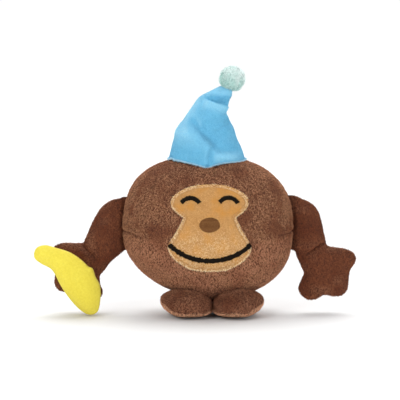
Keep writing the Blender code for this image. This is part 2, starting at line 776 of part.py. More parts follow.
def build_pompom(fold):
    tip_left, tip_right, _ = HAT_TIP[-1]
    end = (Vector(tip_left) + Vector(tip_right)) / 2
    centre = Vector(POMPOM_CENTRE)
    out = (centre - end).normalized()
    start = centre - out * POMPOM_REACH
    pivot = new_pivot("pompom_wobble", (start.x, 0, start.y), fold)
    bm = bmesh.new()
    bmesh.ops.create_icosphere(bm, subdivisions=2, radius=POMPOM_RADIUS)
    bmesh.ops.translate(bm, verts=bm.verts, vec=(centre.x, 0, centre.y))
    add_piece("pompom", bm, pivot, "mint")
    bm = bmesh.new()
    tilt = Matrix.Rotation(math.atan2(out.x, out.y), 4, "Y")
    knot = end + out * TIE_OFF_TIP
    bmesh.ops.create_cone(
        bm, cap_ends=True, segments=12, radius1=TIE_RADIUS, radius2=TIE_RADIUS, depth=TIE_LENGTH,
        matrix=Matrix.Translation((knot.x, 0, knot.y)) @ tilt,
    )
    add_piece("pompom_tie", bm, fold, "mint")


def build_label(root):
    width, length, thick = LABEL_SIZE
    y = body_depth(LABEL_X, LABEL_TOP_Z) + LABEL_OFF_BODY
    pivot = new_pivot("label_flap", (LABEL_X, y, LABEL_TOP_Z), root)
    label = block((width, thick, length), (LABEL_X, y, LABEL_TOP_Z - length / 2))
    add_piece("care_label", label, pivot, "label")


def main():
    clear_scene()
    for name in (NAME, "cutters"):
        bpy.context.scene.collection.children.link(bpy.data.collections.new(name))
    bpy.data.collections["cutters"].hide_render = True
    root = new_pivot("monkey", (0.0, 0.0, 0.0), None)
    build_body(root)
    build_squeaker(root)
    build_face(root)
    hands = {arm[0]: build_arm(arm, root) for arm in ARMS}
    build_banana(hands["right"])
    for name, x in FOOT_CENTRES:
        build_foot(name, x, root)
    build_hat(root)
    build_label(root)


main()
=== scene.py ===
import itertools
import math

import bmesh
import bpy
import numpy as np
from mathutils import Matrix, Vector, geometry


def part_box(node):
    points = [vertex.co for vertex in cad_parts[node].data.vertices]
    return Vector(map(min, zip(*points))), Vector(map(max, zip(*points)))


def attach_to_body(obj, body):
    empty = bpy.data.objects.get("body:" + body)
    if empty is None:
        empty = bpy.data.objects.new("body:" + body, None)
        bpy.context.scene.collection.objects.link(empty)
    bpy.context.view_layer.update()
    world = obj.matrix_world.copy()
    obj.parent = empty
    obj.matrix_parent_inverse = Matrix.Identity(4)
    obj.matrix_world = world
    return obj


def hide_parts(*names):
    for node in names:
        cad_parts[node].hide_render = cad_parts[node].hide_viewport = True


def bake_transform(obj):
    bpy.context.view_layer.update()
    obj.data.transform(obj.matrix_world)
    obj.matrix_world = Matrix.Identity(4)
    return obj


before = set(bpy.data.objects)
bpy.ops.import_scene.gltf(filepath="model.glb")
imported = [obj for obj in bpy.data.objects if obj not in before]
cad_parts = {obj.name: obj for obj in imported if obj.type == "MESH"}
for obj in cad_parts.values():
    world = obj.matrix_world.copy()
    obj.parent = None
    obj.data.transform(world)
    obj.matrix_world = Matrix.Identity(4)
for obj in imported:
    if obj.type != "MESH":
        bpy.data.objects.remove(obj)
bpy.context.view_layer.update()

# Shapes are worked out in millimetres about the toy's middle and stored in metres in the frame.
MM = 0.001
MIDDLE = np.array([10.4, 1.2, 0.0])

# The body in the front view: an oval, squarer at the top than at the bottom, that leans a little
# to its right at the top and to its left at the bottom. Points of the front view are (x, z).
BODY_CENTRE = (0.0, 72.8)
BODY_HALF_WIDTH = 72.2
BODY_HALF_HEIGHT = 60.8
BODY_HALF_DEPTH = 48.0
BODY_POWER_MIDDLE = 2.3
BODY_POWER_SWING = 0.35
BODY_LEAN = 0.055

# The face: its middle line, the nose's height, and half of the patch's outline about the nose
# from its top to its chin. The outline turns sharply at two corners.
FACE_X = 1.0
NOSE_Z = 80.4
FACE_OUTLINE = [
    (0.0, 33.4), (13.0, 32.2), (24.0, 28.2), (31.3, 21.5), (32.4, 15.6), (28.6, 10.9),
    (22.2, 6.1), (25.6, -1.6), (30.2, -9.3), (34.4, -17.1), (33.4, -23.0), (27.6, -30.2),
    (15.5, -37.2), (0.0, -38.8),
]
FACE_CORNERS = (6, 9)
# The running stitch: how far inside the edge, and the points along a stitch, 0.25 mm apart.
STITCH_INSET = 2.5
STITCH_POINTS = 13
THREAD_RADIUS = 0.17
NOSE_HALF_SIZE = (8.9, 6.0)
# The arcs of the mouth and the eyes: half the width, and the heights of the ends and the middle
# from the nose.
MOUTH_ARC = (33.2, -16.4, -29.8)
MOUTH_WIDTH = 3.6
EYE_ARC = (7.4, 17.4, 21.4)
EYE_X = 15.6
EYE_WIDTH = 3.2
SATIN_HEIGHT = 1.1

# The pattern of an arm, for the left one: the sewn line at the body, then the top of the arm, the
# wrist and the hand, about the shoulder.
SHOULDER = (70.0, 78.0)
SHOULDER_LINE = ((73.6, 55.5), (72.4, 101.0))
UPPER_ARM_TOP = [(9.1, 20.2), (16.4, 16.5), (21.3, 12.0), (24.6, 4.7), (27.0, -4.2), (29.4, -14.0)]
WRIST_TOP = (31.5, -20.0)
WRIST_BOTTOM = (6.2, -30.0)
HAND_OUTLINE = [
    (37.0, -21.8), (47.4, -23.3), (54.2, -27.0), (55.5, -33.0), (50.6, -40.9), (49.3, -48.9),
    (48.6, -57.0), (44.5, -61.8), (37.6, -62.6), (29.4, -61.6), (20.5, -66.0), (12.4, -64.8),
    (7.3, -57.5), (9.9, -49.8), (12.0, -44.0), (9.9, -38.4),
]
# Each arm's name, its side, how far the pattern is turned (degrees), its stretch and its shift.
ARMS = (
    ("left", 1, 0.0, 1.0, (0.0, 0.0)),
    ("right", -1, 10.2, 1.032, (1.2, -3.1)),
)
ARM_HALF_DEPTH = 11.0
LIMB_FIBRES = {"density": 3.2, "length": 1.9, "width": 0.38}
# The crease across each wrist: its deep end and its faint end.
ARM_FOLD = {"left": ((98.6, 60.8), (81.0, 50.8)), "right": ((-108.0, 60.5), (-93.0, 44.0))}
# Where the sewn outline eases away from the pattern: middle, reach and push.
ARM_EASE = {
    "left": (((130.0, 30.0), 16.0, (0.9, -0.2)), ((105.0, 12.0), 16.0, (0.0, -0.9)),
             ((100.0, 85.0), 16.0, (0.6, 0.4))),
    "right": (((-89.5, 25.0), 9.0, (-3.2, 0.0)), ((-71.5, 101.0), 6.0, (0.0, -2.2)),
              ((-79.0, 99.5), 8.0, (0.0, 2.0)), ((-96.0, 70.0), 12.0, (-0.6, 0.2)),
              ((-78.0, 52.0), 8.0, (0.5, -1.0)), ((-125.0, 28.0), 12.0, (-1.0, -0.6))),
}

BANANA_Y = -20.0
BANANA_HALF_DEPTH = 9.5
BANANA_EASE = (((-116.0, 18.0), 17.0, (-1.4, -1.0)),)
BANANA_OUTLINE = [
    (-146.6, 53.7), (-144.2, 58.6), (-137.2, 60.4), (-128.2, 58.0), (-116.4, 54.0),
    (-106.8, 47.6), (-101.2, 42.2), (-97.4, 40.4), (-95.1, 33.5), (-91.3, 25.9), (-91.0, 14.7),
    (-93.1, 4.6), (-99.8, 1.7), (-107.3, 6.2), (-115.8, 16.9), (-123.9, 28.1), (-131.3, 39.8),
    (-139.9, 44.7), (-145.6, 49.0),
]

FOOT_SIZE = (21.9, 30.0)
FOOT_CENTRES = (("left", 25.6), ("right", -19.6))
FOOT_Y = -16.0
FOOT_TOP = 25.0
FOOT_LOWEST = 0.25
# The heights between which the foot would go from following the body to turning at the ankle; the
# foot is not bent here.
FOOT_BENDS = (22.5, 5.0)

# The hat: its rim's middle, half width and half depth, then up the hat the points at its left and
# right edge in the front view and half its depth.
HAT_RIM = (-1.7, 32.0, 22.0)
HAT_STATIONS = [
    ((-32.0, 138.7), (30.3, 133.4), 22.0), ((-29.9, 148.5), (28.1, 140.9), 20.5),
    ((-27.2, 158.3), (24.3, 150.7), 18.5), ((-20.7, 166.9), (20.6, 159.4), 16.0),
    ((-14.2, 176.7), (16.7, 166.9), 13.0), ((-7.7, 185.0), (15.2, 175.2), 10.5),
    ((1.4, 190.0), (17.3, 182.6), 7.6), ((7.4, 192.9), (19.6, 187.0), 5.8),
    ((12.2, 194.6), (19.8, 190.3), 3.4),
]
# Folds of the hat in the front view, each from one end to the other: where the tip is tucked
# behind the cone, the level one above the rim, the long valley, the pleat at the rim, two buckles
# in front and one at the back.
HAT_TIP_FOLD = ((-2.5, 183.8), (17.5, 176.2))
HAT_LEVEL_FOLD = ((2.0, 139.6), (27.0, 139.0))
HAT_VALLEY = ((-14.5, 165.0), (7.0, 141.5))
HAT_PLEAT = ((3.4, 142.5), (-1.0, 126.0))
HAT_BUCKLES = (
    ((-24.0, 160.0), (-10.0, 138.0)), ((20.0, 166.0), (6.0, 158.0)), ((-8.0, 176.0), (10.0, 140.0)),
)
HAT_POINT = (16.2, 0.0, 193.4)
# Where the hat would go from following the head to turning with its tip; the hat is not bent here.
HAT_BEND = ((2.5, 0.0, 164.0), (12.0, 0.0, 190.0))
HAT_THICKNESS = 1.0
POMPOM_CENTRE = (21.5, 200.1)
POMPOM_RADIUS = 9.5
LABEL_THICKNESS = 0.4

# The stage, in metres. The floor whitens between two distances from the toy.
FLOOR_HALF = 6.0
FLOOR_WHITENS = (0.5, 2.0)
FLOOR_NEAR = ((232.387,) * 3, (234.904,) * 3)
FLOOR_FAR = (249.311,) * 3
CAMERA_LENS = 137.0
CAMERA_TARGET = (0.0032, 0.0012, 0.097)
CAMERA_DISTANCE = 1.3
CAMERA_ELEVATION = 5.0


# ---- numbers and noise

def lattice_noise(points, size, seed):
    """Smooth noise from -1 to 1 with features of a given size in millimetres."""
    scaled = points / size + 1000.0
    cell = np.floor(scaled).astype(np.int64)
    part = scaled - cell
    part = part * part * (3 - 2 * part)
    total = np.zeros(len(points))
    for corner in itertools.product((0, 1), repeat=3):
        i, j, k = (cell + corner).T
        key = i * 73856093 ^ j * 19349663 ^ k * 83492791
        key = (key ^ (seed * 2654435761)) & 0xFFFFFFFF
        for _ in range(2):
            key = ((key >> 16) ^ key) * 0x45D9F3B & 0xFFFFFFFF
        value = ((key >> 16) ^ key) / 4294967295.0 * 2 - 1
        a, b, c = np.where(corner, part, 1 - part).T
        total += value * (a * b * c)
    return total


def columns(*parts):
    """Arrays and numbers side by side, such as the coordinates of points."""
    return np.stack(np.broadcast_arrays(*parts), axis=-1)


def step(low, high, value):
    """A smooth rise from 0 at low to 1 at high."""
    t = np.clip((value - low) / (high - low), 0, 1)
    return t * t * (3 - 2 * t)


def unit(vectors):
    return vectors / np.maximum(np.linalg.norm(vectors, axis=-1, keepdims=True), 1e-9)


def bump(distance, width):
    """A smooth bump, 1 in its middle."""
    return np.exp(-((distance / width) ** 2))


def hermite(t, start, leave, end, arrive):
    """The way from start to end that sets off and arrives with the given slopes."""
    return (
        start * (2 * t**3 - 3 * t**2 + 1) + leave * (t**3 - 2 * t**2 + t)
        + end * (3 * t**2 - 2 * t**3) + arrive * (t**3 - t**2)
    )


def run_length(line):
    """How far along a line each of its points is."""
    return np.concatenate([[0], np.cumsum(np.linalg.norm(np.diff(line, axis=0), axis=1))])


def closed_curve(points, corners=(), steps=10):
    """A closed smooth line through a few points, which turns sharply at the corners."""
    points = [np.array(point, float) for point in points]
    count = len(points)
    line = []
    for i in range(count):
        before, start, end, after = (points[(i + k) % count] for k in (-1, 0, 1, 2))
        leave = np.zeros(2) if i in corners else (end - before) / 2
        arrive = np.zeros(2) if (i + 1) % count in corners else (after - start) / 2
        line += [hermite(k / steps, start, leave, end, arrive) for k in range(steps)]
    return np.array(line)


def resample(line, spacing):
    """A closed line with its points spread evenly."""
    closed = np.vstack([line, line[:1]])
    along = run_length(closed)
    count = max(8, int(round(along[-1] / spacing)))
    targets = np.linspace(0, along[-1], count, endpoint=False)
    return np.stack([np.interp(targets, along, closed[:, k]) for k in range(2)], axis=1)


def inside(points, line):
    """Which points lie inside a closed line."""
    result = np.zeros(len(points), bool)
    following = np.roll(line, -1, axis=0)
    for (x0, z0), (x1, z1) in zip(line, following):
        if z0 == z1:
            continue
        crosses = (points[:, 1] < z0) != (points[:, 1] < z1)
        at = x0 + (points[:, 1] - z0) / (z1 - z0) * (x1 - x0)
        result ^= crosses & (points[:, 0] < at)
    return result


def edge_distance(points, line):
    """Distance to a closed line, the nearest point on it, and how far along it that is."""
    best = np.full(len(points), 1e9)
    nearest = np.zeros((len(points), 2))
    place = np.zeros(len(points))
    following = np.roll(line, -1, axis=0)
    total = 0.0
    for start, end in zip(line, following):
        way = end - start
        length = np.linalg.norm(way)
        if length < 1e-9:
            continue
        t = np.clip(((points - start) @ way) / length**2, 0, 1)
        spot = start + t[:, None] * way
        distance = np.linalg.norm(points - spot, axis=1)
        closer = distance < best
        best[closer] = distance[closer]
        nearest[closer] = spot[closer]
        place[closer] = total + t[closer] * length
        total += length
    return best, nearest, place


def segment_distance(points, start, end):
    """Distance to the line through two points, signed by side, and the share of the way along."""
    start, end = np.array(start, float), np.array(end, float)
    way = end - start
    length = np.linalg.norm(way)
    t = ((points - start) @ way) / length**2
    normal = np.array([-way[1], way[0]]) / length
    return (points - start) @ normal, t


def fold_distance(points, fold, wave=0.0, waves=0.0):
    """The same for a fold that wanders from side to side."""
    across, t = segment_distance(points, *fold)
    return across + wave * np.sin(t * waves), t


def line_distance(points, line):
    """Distance to an open line."""
    best = np.full(len(points), 1e9)
    for start, end in zip(line[:-1], line[1:]):
        way = end - start
        t = np.clip((points - start) @ way / (way @ way), 0, 1)
        best = np.minimum(best, np.linalg.norm(points - start - t[:, None] * way, axis=1))
    return best


def inward(line):
    """The direction into a closed line at each of its points."""
    way = np.roll(line, -1, axis=0) - np.roll(line, 1, axis=0)
    area = 0.5 * np.sum(line[:, 0] * np.roll(line[:, 1], -1) - np.roll(line[:, 0], -1) * line[:, 1])
    return unit(columns(-way[:, 1], way[:, 0])) * (1 if area > 0 else -1)


def fill_outline(line, spacing, rings):
    """Triangles over the flat shape inside a closed line, with rings of points near its edge."""
    points = [line]
    into = inward(line)
    for inset in rings:
        moved = line + into * inset
        distance = edge_distance(moved, line)[0]
        points.append(moved[inside(moved, line) & (distance > 0.93 * inset)])
    low, high = line.min(0), line.max(0)
    rows = np.arange(low[1], high[1], spacing * 0.866)
    lattice = []
    for i, z in enumerate(rows):
        xs = np.arange(low[0] + (spacing / 2 if i % 2 else 0), high[0], spacing)
        lattice.append(columns(xs, z))
    lattice = np.vstack(lattice)
    lattice = lattice[inside(lattice, line)]
    distance = edge_distance(lattice, line)[0]
    points.append(lattice[distance > (rings[-1] if rings else 0) + 0.6 * spacing])
    flat = np.vstack(points)
    outline = list(range(len(line)))
    result = geometry.delaunay_2d_cdt([Vector(p) for p in flat], [], [outline], 1, 1e-5)
    verts = np.array([tuple(v) for v in result[0]])
    faces = np.array([tuple(f) for f in result[2] if len(f) == 3])
    a, b, c = (verts[faces[:, k]] for k in range(3))
    (bx, bz), (cx, cz) = (b - a).T, (c - a).T
    turned = bx * cz - bz * cx < 0
    faces[turned] = faces[turned][:, ::-1]
    return verts, faces


def swelling(line, step_mm=0.8, turns=500):
    """How a cloth pillow with this outline swells, as a stretched membrane does: a function of
    points that is 0 on the outline and 1 at the fullest place."""
    low = line.min(0) - 2 * step_mm
    size = np.ceil((line.max(0) + 2 * step_mm - low) / step_mm).astype(int) + 1
    xs = low[0] + step_mm * np.arange(size[0])
    zs = low[1] + step_mm * np.arange(size[1])
    grid = np.stack(np.meshgrid(xs, zs, indexing="ij"), axis=-1).reshape(-1, 2)
    mask = inside(grid, line).reshape(size)
    mask[0, :] = mask[-1, :] = mask[:, 0] = mask[:, -1] = False
    field = np.zeros(size)
    parity = np.add.outer(np.arange(size[0]), np.arange(size[1])) % 2
    for _ in range(turns):
        for colour in (0, 1):
            here = mask & (parity == colour)
            near = np.zeros_like(field)
            near[1:-1, 1:-1] = (
                field[2:, 1:-1] + field[:-2, 1:-1] + field[1:-1, 2:] + field[1:-1, :-2] + 1.0
            ) / 4
            field = np.where(here, field + 1.93 * (near - field), field)
    field = np.maximum(field, 0) / field.max()

    def at(points):
        spot = (points - low) / step_mm
        cell = np.clip(np.floor(spot).astype(int), 0, size - 2)
        i, j = cell.T
        u, v = (spot - cell).T
        low_row = field[i, j] * (1 - u) * (1 - v) + field[i + 1, j] * u * (1 - v)
        return low_row + field[i, j + 1] * (1 - u) * v + field[i + 1, j + 1] * u * v

    return at


# ---- objects

def link_object(name, data):
    obj = bpy.data.objects.new(name, data)
    bpy.context.scene.collection.objects.link(obj)
    return obj


def in_frame(points):
    """Millimetres about the toy's middle, as metres in the frame."""
    return (np.asarray(points, float) + MIDDLE) * MM


def node_box(name):
    """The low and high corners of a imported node's box, in millimetres about the toy's middle."""
    return (np.array(corner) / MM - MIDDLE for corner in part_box(name))


def set_numbers(obj, name, values):
    """One number for each vertex, for a material to read."""
    attribute = obj.data.attributes.new(name, "FLOAT", "POINT")
    attribute.data.foreach_set("value", np.asarray(values, np.float32))


def thicken(obj, thickness, offset):
    solid = obj.modifiers.new("cloth", "SOLIDIFY")
    solid.thickness = thickness * MM
    solid.offset = offset
    bpy.context.view_layer.objects.active = obj
    bpy.ops.object.modifier_apply(modifier="cloth")


def attach(body, slot, pieces, *nodes):
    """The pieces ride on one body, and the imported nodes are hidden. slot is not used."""
    if nodes:
        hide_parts(*nodes)
    for piece in pieces:
        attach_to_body(piece, body)


def bend(bodies, slot, pieces, start, end, *nodes):
    """Pieces that would bend from one body to another get their transforms baked, and the imported
    nodes are hidden. bodies, slot, start and end are not used.
    """
    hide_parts(*nodes)
    for piece in pieces:
        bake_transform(piece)


def mesh_object(name, verts, faces, material, smooth=True):
    """A mesh from points in millimetres and faces that all have the same number of sides."""
    mesh = bpy.data.meshes.new(name)
    world = in_frame(verts)
    faces = np.asarray(faces, np.int32)
    sides = faces.shape[1]
    mesh.vertices.add(len(world))
    mesh.vertices.foreach_set("co", world.reshape(-1).astype(np.float32))
    mesh.loops.add(faces.size)
    mesh.loops.foreach_set("vertex_index", faces.reshape(-1))
    mesh.polygons.add(len(faces))
    mesh.polygons.foreach_set("loop_start", np.arange(0, faces.size, sides, dtype=np.int32))
    mesh.polygons.foreach_set("use_smooth", np.full(len(faces), smooth))
    mesh.update()
    mesh.validate()
    mesh.materials.append(material)
    return link_object(name, mesh)


def vertex_normals(verts, faces):
    normals = np.zeros_like(verts)
    a, b, c = (verts[faces[:, k]] for k in range(3))
    face = np.cross(b - a, c - a)
    for k in range(3):
        np.add.at(normals, faces[:, k], face)
    return unit(normals)


def grow_pile(name, verts, faces, material, density, length, width, seed, nap=(0, 0, -1), lift=0.75,
              keep=None, clump=1.5, spread=0.5, sink=0.3, length_at=None, pale_at=None):
    """Short fibres over a surface. density is per square millimetre, nap the way they are brushed,
    lift from 0, lying down, to 1 and more, standing up, and keep the chance of a fibre there."""
    rng = np.random.default_rng(seed)
    a, b, c = (verts[faces[:, k]] for k in range(3))
    area = np.linalg.norm(np.cross(b - a, c - a), axis=1) / 2
    count = int(area.sum() * density)
    pick = rng.choice(len(faces), count, p=area / area.sum())
    r, s = rng.random(count), rng.random(count)
    over = r + s > 1
    r[over], s[over] = 1 - r[over], 1 - s[over]
    root = a[pick] + (b - a)[pick] * r[:, None] + (c - a)[pick] * s[:, None]
    normals = vertex_normals(verts, faces)
    na, nb, nc = (normals[faces[pick, k]] for k in range(3))
    normal = unit(na * (1 - r - s)[:, None] + nb * r[:, None] + nc * s[:, None])
    chance = rng.random(count)
    if keep is not None:
        wanted = keep(root, normal) > chance
        root, normal = root[wanted], normal[wanted]
        count = len(root)
    swirl = columns(*(lattice_noise(root, clump, seed + k) for k in range(3)))
    swirl += 0.45 * columns(*(lattice_noise(root, clump * 3.5, seed + 10 + k) for k in range(3)))
    way = np.array(nap, float) + swirl * 0.9 + rng.normal(size=(count, 3)) * spread
    way -= normal * np.sum(way * normal, axis=1, keepdims=True)
    way = unit(way)
    raised = lift * (0.6 + 0.8 * rng.random(count))[:, None]
    direction = unit(way + normal * raised)
    across = unit(np.cross(normal, direction) + rng.normal(size=(count, 3)) * 0.35)
    size = length * (0.65 + 0.6 * rng.random(count))
    if length_at is not None:
        size *= length_at(root)
    half = width * (0.7 + 0.6 * rng.random(count))[:, None] / 2
    foot = root - normal * sink
    middle = foot + direction * (0.5 * size)[:, None]
    tip = foot + unit(direction - normal * 0.35 * raised) * size[:, None]
    points = np.empty((count, 5, 3))
    points[:, 0] = foot - across * half
    points[:, 1] = foot + across * half
    points[:, 2] = middle + across * half * 0.8
    points[:, 3] = middle - across * half * 0.8
    points[:, 4] = tip
    start = np.arange(count)[:, None] * 5
    strip = np.vstack([start + [0, 1, 2], start + [0, 2, 3], start + [3, 2, 4]])
    obj = mesh_object(name, points.reshape(-1, 3), strip, material, smooth=False)
    tone = rng.random(count)
    tone = 0.6 * tone + 0.4 * (0.5 + 0.5 * lattice_noise(root, clump * 0.8, seed + 31))
    set_numbers(obj, "fibre_tone", np.repeat(tone, 5))
    set_numbers(obj, "fibre_tip", np.tile([0.0, 0.0, 0.6, 0.6, 1.0], count))
    if pale_at is not None:
        set_numbers(obj, "fibre_pale", np.repeat(pale_at(root, normal), 5))
    return obj


def tubes(name, lines, radii, material, sides=5):
    """Threads: lines is (threads, points, 3) and radii one number for each point along."""
    lines = np.asarray(lines, float)
    count, length, _ = lines.shape
    radii = np.broadcast_to(np.asarray(radii, float), (count, length))
    along = unit(np.gradient(lines, axis=1))
    helper = np.where(np.abs(along[..., 1:2]) > 0.9, [[[1.0, 0, 0]]], [[[0, 1.0, 0]]])
    first = unit(np.cross(along, helper))
    second = np.cross(along, first)
    angles = 2 * math.pi * np.arange(sides) / sides
    ring = (
        first[:, :, None, :] * np.cos(angles)[None, None, :, None]
        + second[:, :, None, :] * np.sin(angles)[None, None, :, None]
    )
    verts = lines[:, :, None, :] + ring * radii[:, :, None, None]
    corners = [(0, 0), (0, 1), (1, 1), (1, 0)]
    quads = np.array([
        [(i + up) * sides + (k + on) % sides for up, on in corners]
        for i in range(length - 1) for k in range(sides)
    ])
    starts = (np.arange(count) * length * sides)[:, None, None]
    faces = (quads[None] + starts).reshape(-1, 4)
    obj = mesh_object(name, verts.reshape(-1, 3), faces, material)
    tone = np.random.default_rng(count).random(count)
    set_numbers(obj, "fibre_tone", np.repeat(tone, length * sides))
    return obj


# ---- materials

def srgb(*colour):
    """A colour as written here, 0 to 255 as on a screen, as the shader's linear numbers."""
    parts = [value / 255 for value in colour]
    linear = [v / 12.92 if v <= 0.04045 else ((v + 0.055) / 1.055) ** 2.4 for v in parts]
    return (*linear, 1.0)


class Nodes:
    """A Principled material and short ways to add nodes to it."""

    def __init__(self, name, roughness, sheen=0.0, sheen_tint=(255, 255, 255), sheen_roughness=0.5,
                 specular=0.3):
        self.material = bpy.data.materials.new(name)
        self.material.use_nodes = True
        self.tree = self.material.node_tree
        self.shader = self.tree.nodes["Principled BSDF"]
        self.set("Roughness", roughness)
        self.set("Specular IOR Level", specular)
        self.set("Sheen Weight", sheen)
        self.set("Sheen Roughness", sheen_roughness)
        self.set("Sheen Tint", srgb(*sheen_tint))
        self.place = self.tree.nodes.new("ShaderNodeTexCoord").outputs["Object"]

    def set(self, socket, value):
        self.shader.inputs[socket].default_value = value

    def link(self, source, target):
        self.tree.links.new(source, target)

    def add(self, kind, inputs, output, **settings):
        """A node with its inputs given by name or number, each a value or another node's output."""
        node = self.tree.nodes.new("ShaderNode" + kind)
        for name, value in settings.items():
            setattr(node, name, value)
        for key, value in inputs.items():
            if isinstance(value, bpy.types.NodeSocket):
                self.link(value, node.inputs[key])
            else:
                node.inputs[key].default_value = value
        return node.outputs[output]

    def noise(self, size, detail=2.0, roughness=0.5, stretch=None):
        """Noise with features of a given size in millimetres."""
        place = self.place
        if stretch:
            place = self.add("Mapping", {"Vector": place, "Scale": stretch}, "Vector")
        inputs = {"Vector": place, "Scale": 1 / (size * MM), "Detail": detail}
        return self.add("TexNoise", {**inputs, "Roughness": roughness}, "Fac")

    def attribute(self, name):
        return self.add("Attribute", {}, "Fac", attribute_name=name)

    def spread(self, source, low, high, to_low=0.0, to_high=1.0):
        inputs = {"Value": source, "From Min": low, "From Max": high}
        return self.add("MapRange", {**inputs, "To Min": to_low, "To Max": to_high}, "Result")

    def mix(self, share, first, second):
        """Two colours, each written as a tuple or taken from another node."""
        ends = [srgb(*end) if isinstance(end, tuple) else end for end in (first, second)]
        return self.add("Mix", {0: share, 6: ends[0], 7: ends[1]}, 2, data_type="RGBA")

    def maths(self, operation, *values):
        return self.add("Math", dict(enumerate(values)), 0, operation=operation)

    def colour(self, source):
        self.link(source, self.shader.inputs["Base Color"])

    def relief(self, source, depth):
        inputs = {"Height": source, "Distance": depth * MM, "Strength": 1.0}
        self.link(self.add("Bump", inputs, "Normal"), self.shader.inputs["Normal"])


def cloth_material(name, dark, light, sheen, tint, speckle=1.6, patch=18.0, relief=0.5, pale=None,
                   warm=None):
    """Cloth under a pile: mottled, with the roots of the fibres as relief."""
    nodes = Nodes(name, 0.95, sheen=sheen, sheen_tint=tint)
    fine = nodes.spread(nodes.noise(speckle, 3.0, 0.6), 0.3, 0.7)
    broad = nodes.spread(nodes.noise(patch, 2.0), 0.3, 0.7)
    shares = (nodes.maths("MULTIPLY", part, share) for part, share in ((fine, 0.7), (broad, 0.3)))
    colour = nodes.mix(nodes.maths("ADD", *shares), dark, light)
    if warm is not None:
        stain = nodes.spread(nodes.noise(patch, 1.0), 0.5, 0.66, 0.0, 0.6)
        colour = nodes.mix(stain, colour, warm)
    if pale is not None:
        colour = nodes.mix(nodes.attribute("fibre_pale"), colour, pale)
    nodes.colour(colour)
    nodes.relief(nodes.noise(speckle * 0.6, 3.0, 0.6), relief)
    return nodes.material


def pile_material(name, dark, light, tip, sheen, tint, tip_share=0.5, patch=20.0, warm=None,
                  deep=None, tuft=1.7, gaps=0.7, pale=None):
    """Fibres: each its own tone, lighter at the tip, with painted shade between tufts, in soft
    patches.
    """
    nodes = Nodes(name, 0.9, sheen=sheen, sheen_tint=tint, sheen_roughness=0.4, specular=0.2)
    base = nodes.mix(nodes.attribute("fibre_tone"), dark, light)
    ends = nodes.maths("MULTIPLY", nodes.attribute("fibre_tip"), tip_share)
    both = nodes.mix(ends, base, tip)
    if warm is not None:
        broad = nodes.spread(nodes.noise(patch, 2.0), 0.48, 0.61)
        both = nodes.mix(nodes.maths("MULTIPLY", broad, 0.7), both, warm)
    if pale is not None:
        both = nodes.mix(nodes.attribute("fibre_pale"), both, pale)
    # painted shade: darker in the gaps between tufts, less so where fibre_pale is high
    if deep is not None:
        between = nodes.spread(nodes.noise(tuft, 1.0, 0.5), 0.42, 0.6)
        depth = nodes.maths("MULTIPLY", between, gaps)
        if pale is not None:
            smoother = nodes.spread(nodes.attribute("fibre_pale"), 0.0, 0.6, 1.0, 0.12)
            depth = nodes.maths("MULTIPLY", depth, smoother)
        both = nodes.mix(depth, both, deep)
    nodes.colour(both)
    return nodes.material


def thread_material(name, dark, light, sheen=0.1, roughness=0.55, specular=0.4, grain=0.5):
    nodes = Nodes(name, roughness, sheen=sheen, specular=specular)
    twist = nodes.spread(nodes.noise(grain, 2.0), 0.3, 0.7)
    both = nodes.maths("MULTIPLY", nodes.maths("ADD", twist, nodes.attribute("fibre_tone")), 0.5)
    nodes.colour(nodes.mix(both, dark, light))
    nodes.relief(nodes.noise(0.35, 2.0), 0.08)
    return nodes.material


# Below, deep is painted shade between the tufts. pale is painted light on the body, the arms, the
# hat and the pompom, and the plain colour of the face's edge and chin and of the feet's sole band.
BROWN_CLOTH = cloth_material("body_plush_cloth", (64, 34, 22), (98, 58, 39), 0.1, (220, 160, 125))
BROWN_PILE = pile_material("body_plush_pile", (132, 82, 54), (200, 136, 96), (240, 182, 138), 0.2,
                           (235, 180, 145), warm=(140, 76, 48), deep=(44, 20, 12),
                           tuft=0.65, gaps=0.66, pale=(186, 130, 99))
LIMB_CLOTH = cloth_material("limb_plush_cloth", (60, 30, 18), (88, 48, 30), 0.1, (210, 140, 105))
LIMB_PILE = pile_material("limb_plush_pile", (90, 47, 29), (134, 75, 48), (166, 100, 67), 0.2,
                          (225, 160, 125), warm=(114, 58, 36), deep=(50, 23, 13),
                          tuft=0.8, gaps=0.28, pale=(226, 172, 136))
TAN_CLOTH = cloth_material("tan_cloth", (166, 116, 64), (196, 150, 92), 0.15, (255, 230, 190),
                          patch=11.0, warm=(190, 134, 62))
TAN_PILE = pile_material("tan_pile", (186, 138, 78), (216, 170, 106), (226, 184, 126), 0.15,
                         (255, 240, 205), patch=11.0, warm=(206, 136, 50), deep=(160, 110, 62),
                         tuft=0.9, gaps=0.35, pale=(238, 214, 172))
TAN_THREAD = thread_material("tan_thread", (178, 136, 86), (208, 168, 114))
BLACK_THREAD = thread_material("black_thread", (12, 8, 3), (28, 20, 10), sheen=0.0, roughness=0.8,
                               specular=0.12)
NOSE_THREAD = thread_material("nose_thread", (85, 52, 23), (129, 88, 51), sheen=0.0, roughness=0.8,
                              specular=0.15, grain=1.0)
BLUE_CLOTH = cloth_material("blue_fleece_cloth", (84, 160, 198), (112, 186, 220), 0.15,
                            (225, 245, 255), relief=0.25, pale=(150, 212, 238))
HEM_PILE = pile_material("blue_fleece_hem", (150, 208, 232), (190, 228, 244), (214, 240, 250), 0.2,
                         (235, 248, 255))
BLUE_PILE = pile_material("blue_fleece_nap", (86, 166, 204), (114, 192, 222), (136, 206, 232), 0.2,
                          (235, 248, 255), pale=(178, 226, 242))
MINT_PILE = pile_material("mint_pompom", (168, 212, 204), (206, 234, 229), (226, 244, 240), 0.2,
                          (255, 255, 255), deep=(136, 196, 186), tuft=1.2, gaps=0.42,
                          pale=(240, 250, 248))
MINT_CLOTH = cloth_material("mint_pompom_core", (206, 237, 233), (230, 247, 245), 0.1,
                            (255, 255, 255))
BLUE_THREAD = thread_material("blue_thread", (70, 146, 186), (104, 180, 214))
